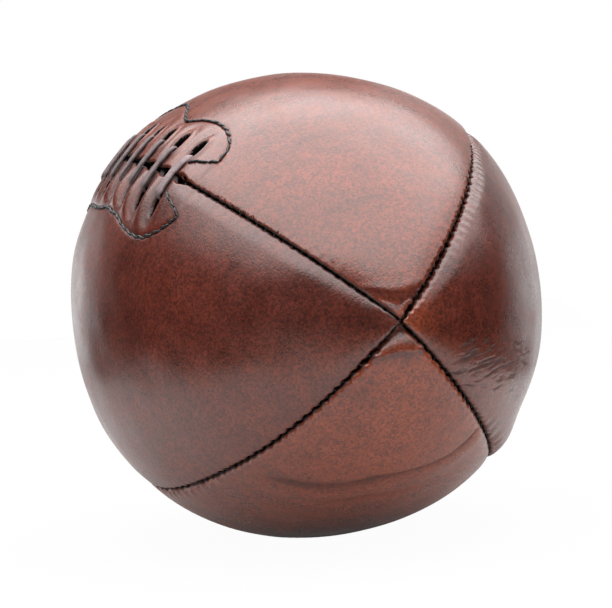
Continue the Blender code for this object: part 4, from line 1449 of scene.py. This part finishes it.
def mottled(name, patches, spread, colours, grain, bump, roughness, specular):
    """A material with soft patches of two colours, and a grain for its bump and roughness."""
    look = Shading(name)
    clouds = look.noise(*patches)
    fine = clouds if grain == patches else look.noise(*grain)
    colour = look.mixed(look.stretched(clouds, *spread), *colours)
    matt = look.stretched(fine, 0.3, 0.7, *roughness)
    return look.finish(colour, matt, (fine, *bump), Specular_IOR_Level=specular)


def black_thread():
    fibres = (0.0004, 3.0)
    colours = ((0.003, 0.003, 0.005), (0.010, 0.010, 0.014))
    return mottled("black_thread", fibres, (0.0, 1.0), colours, fibres, (0.0002, 0.4), (0.26, 0.40), 0.45)


def frayed_leather():
    hairs = (0.0012, 3.0)
    colours = ((0.012, 0.005, 0.0035), (0.130, 0.046, 0.020))
    return mottled("frayed_leather", hairs, (0.3, 0.7), colours, hairs, (0.0002, 0.3), (0.7, 0.9), 0.2)


def inner_leather():
    blotches = (0.008, 5.0)
    nap = (0.0007, 3.0)
    colours = ((0.008, 0.005, 0.004), (0.024, 0.012, 0.009))
    return mottled("inner_leather", blotches, (0.3, 0.7), colours, nap, (0.0004, 0.5), (0.75, 0.92), 0.15)


def lining_canvas():
    """Undyed cotton canvas with a plain weave."""
    look = Shading("lining_canvas")
    threads = look.maths("MULTIPLY", *[look.stripes(WEAVE, axis, 1.2, 1.0) for axis in ("X", "Z")])
    stains = look.noise(0.03)
    colour = look.mixed(look.stretched(stains, 0.3, 0.7), (0.40, 0.32, 0.22), (0.60, 0.52, 0.39))
    colour = look.mixed(look.maths("MULTIPLY", threads, 0.45), colour, (0.27, 0.21, 0.14))
    return look.finish(colour, look.stretched(stains, 0.3, 0.7, 0.85, 0.95), (threads, 0.0003, 0.5))


def bladder_rubber():
    """Red rubber with a pale bloom and fine pits."""
    look = Shading("bladder_rubber")
    bloom = look.noise(0.02, 5.0)
    pits = look.noise(0.0012, 2.0, 0.5)
    colour = look.mixed(look.stretched(bloom, 0.3, 0.75), (0.20, 0.042, 0.030), (0.30, 0.11, 0.085))
    return look.finish(colour, look.stretched(bloom, 0.3, 0.7, 0.5, 0.7), (pits, 0.0002, 0.3))


def stopper_wood():
    look = Shading("stopper_wood")
    rings = look.stripes(WOOD_RING, "Y", 2.0, 2.0)
    colour = look.mixed(rings, (0.42, 0.26, 0.13), (0.55, 0.38, 0.21))
    return look.finish(colour, look.stretched(rings, 0.0, 1.0, 0.45, 0.6), (rings, 0.0001, 0.3))


# Camera, lamps, floor and backdrop. Places are given by the camera's own directions from the ball's centre.

CAMERA_AZIMUTH = 75.37
CAMERA_ELEVATION = 3.78
CAMERA_ROLL = -4.69
CAMERA_DISTANCE = 1.104
CAMERA_AIM = Vector((0.00047, 0.00182, 0.00002))
CAMERA_LENS = 163.13
SENSOR_WIDTH = 36.0

# Level lamps over the ball: name, left and right end, rear end, and brightness.
OVERHEAD_HEIGHT = 1.0
OVERHEAD_FRONT = 1.6
OVERHEAD_LAMPS = (
    ("overhead", -1.3, 1.0, -1.0, 3.8),
    ("overhead_left", -2.4, -1.3, -0.2, 1.8),
    ("overhead_right", 1.0, 2.2, -1.0, 1.7),
)

# Small lamps behind the ball that face it: name, place, size and brightness.
RIM_LAMPS = (
    ("rim_left", (-0.60, 0.00, -0.96), (0.42, 0.27), 0.95),
    ("rim_right", (0.66, 0.04, -0.90), (0.5, 0.35), 0.28),
)

# Sheets of the stage: left and right end, lower or rear end, and upper or front end.
FLOOR_ENDS = (-0.32, 0.21, -1.2, 0.33)
FLOOR_GREY = (0.50, 0.50, 0.50)
FLOOR_WHITE = {"Is Camera Ray": 0.965, "Is Glossy Ray": 0.12}
BACKDROP_DISTANCE = 2.2
BACKDROP_GREY = (0.06, 0.06, 0.06)
BACKDROPS = {
    "backdrop": ((-2.2, 2.2, -0.28, 0.60), 1.0),
    "backdrop_upper_left": ((-2.2, 0.24, 0.60, 1.90), 0.15),
    "backdrop_upper_right": ((0.24, 2.2, 0.60, 1.90), 0.55),
}
ROOM_LIGHT = 0.05


def camera_axes():
    """The camera's right, up and backward directions."""
    azimuth = math.radians(CAMERA_AZIMUTH)
    elevation = math.radians(CAMERA_ELEVATION)
    level = math.cos(elevation)
    back = Vector((math.sin(azimuth) * level, -math.cos(azimuth) * level, math.sin(elevation)))
    right = Vector((0, 0, 1)).cross(back).normalized()
    right = Matrix.Rotation(math.radians(CAMERA_ROLL), 3, back) @ right
    return right, back.cross(right), back


def in_view(sideways, upward, nearer):
    right, up, back = camera_axes()
    return right * sideways + up * upward + back * nearer


def placed(place, *axes):
    """The place of an object whose own X, Y and Z point along three axes."""
    return Matrix.Translation(place) @ Matrix(axes).transposed().to_4x4()


def make_camera():
    right, up, back = camera_axes()
    data = bpy.data.cameras.new("camera")
    data.lens = CAMERA_LENS
    data.sensor_width = SENSOR_WIDTH
    camera = add_object("camera", data)
    camera.matrix_world = placed(CAMERA_AIM + back * CAMERA_DISTANCE, right, up, back)
    bpy.context.scene.camera = camera


def make_lamp(name, place, size, brightness):
    """A rectangular soft lamp. Its brightness is what a mirror would show, where 1 is white."""
    data = bpy.data.lights.new(name, "AREA")
    data.shape = "RECTANGLE"
    data.size, data.size_y = size
    data.energy = brightness * math.pi * size[0] * size[1]
    lamp = add_object(name, data)
    lamp.matrix_world = place
    lamp.visible_camera = False


def make_lamps():
    right, up, back = camera_axes()
    for name, left, right_end, rear, brightness in OVERHEAD_LAMPS:
        middle = in_view((left + right_end) / 2, OVERHEAD_HEIGHT, (rear + OVERHEAD_FRONT) / 2)
        size = (right_end - left, OVERHEAD_FRONT - rear)
        make_lamp(name, placed(middle, right, -back, up), size, brightness)
    for name, place, size, brightness in RIM_LAMPS:
        place = in_view(*place)
        facing = (-place).to_track_quat("-Z", "Y").to_matrix().to_4x4()
        make_lamp(name, Matrix.Translation(place) @ facing, size, brightness)


def white_to_rays(name, colour, shares):
    """A pale matt material with a share of plain white for each of some kinds of ray."""
    look = Nodes(bpy.data.materials.new(name))
    look.tree.nodes.remove(look.tree.nodes["Principled BSDF"])
    rays = look.add("LightPath").outputs
    white = look.weighted(*[(rays[ray], share) for ray, share in shares.items()])
    matt = look.add("BsdfDiffuse", {"Color": colour}).outputs[0]
    glow = look.add("Emission").outputs[0]
    mixed = look.add("MixShader", {0: white, 1: matt, 2: glow}).outputs[0]
    look.join(mixed, look.tree.nodes["Material Output"].inputs["Surface"])
    return look.owner


def plain_sheet(name, corners, colour, shares):
    mesh = bpy.data.meshes.new(name)
    mesh.from_pydata(corners, [], [range(len(corners))])
    mesh.materials.append(white_to_rays(name + "_white", colour, shares))
    add_object(name, mesh)


def rectangle(left, right, low, high):
    return (left, low), (right, low), (right, high), (left, high)


def make_stage():
    floor = [in_view(x, 0, z) for x, z in rectangle(*FLOOR_ENDS)]
    plain_sheet("floor", [(corner.x, corner.y, REST_HEIGHT) for corner in floor], FLOOR_GREY, FLOOR_WHITE)
    for name, (ends, glossy) in BACKDROPS.items():
        corners = [tuple(in_view(x, y, -BACKDROP_DISTANCE)) for x, y in rectangle(*ends)]
        shares = {"Is Camera Ray": 1.0, "Is Glossy Ray": glossy, "Is Transmission Ray": 1.0}
        plain_sheet(name, corners, BACKDROP_GREY, shares)


def make_world():
    """A dim room that shows as white behind the object."""
    world = bpy.data.worlds.new("world")
    bpy.context.scene.world = world
    look = Nodes(world)
    background = look.tree.nodes["Background"].inputs
    to_camera = look.add("LightPath").outputs["Is Camera Ray"]
    look.join(look.stretched(to_camera, 0.0, 1.0, ROOM_LIGHT, 1.0), background["Strength"])
    look.join((1, 1, 1), background["Color"])


make_camera()
leather = cover_leather()
raw_leather = raw_edge()
for panel in range(len(PANELS)):
    make_panel(panel, leather, raw_leather)
make_lace(lace_leather())
make_threads(black_thread())
make_fibres(frayed_leather())
make_inside()
make_lamps()
make_stage()
make_world()
bpy.context.scene.view_settings.view_transform = "Standard"
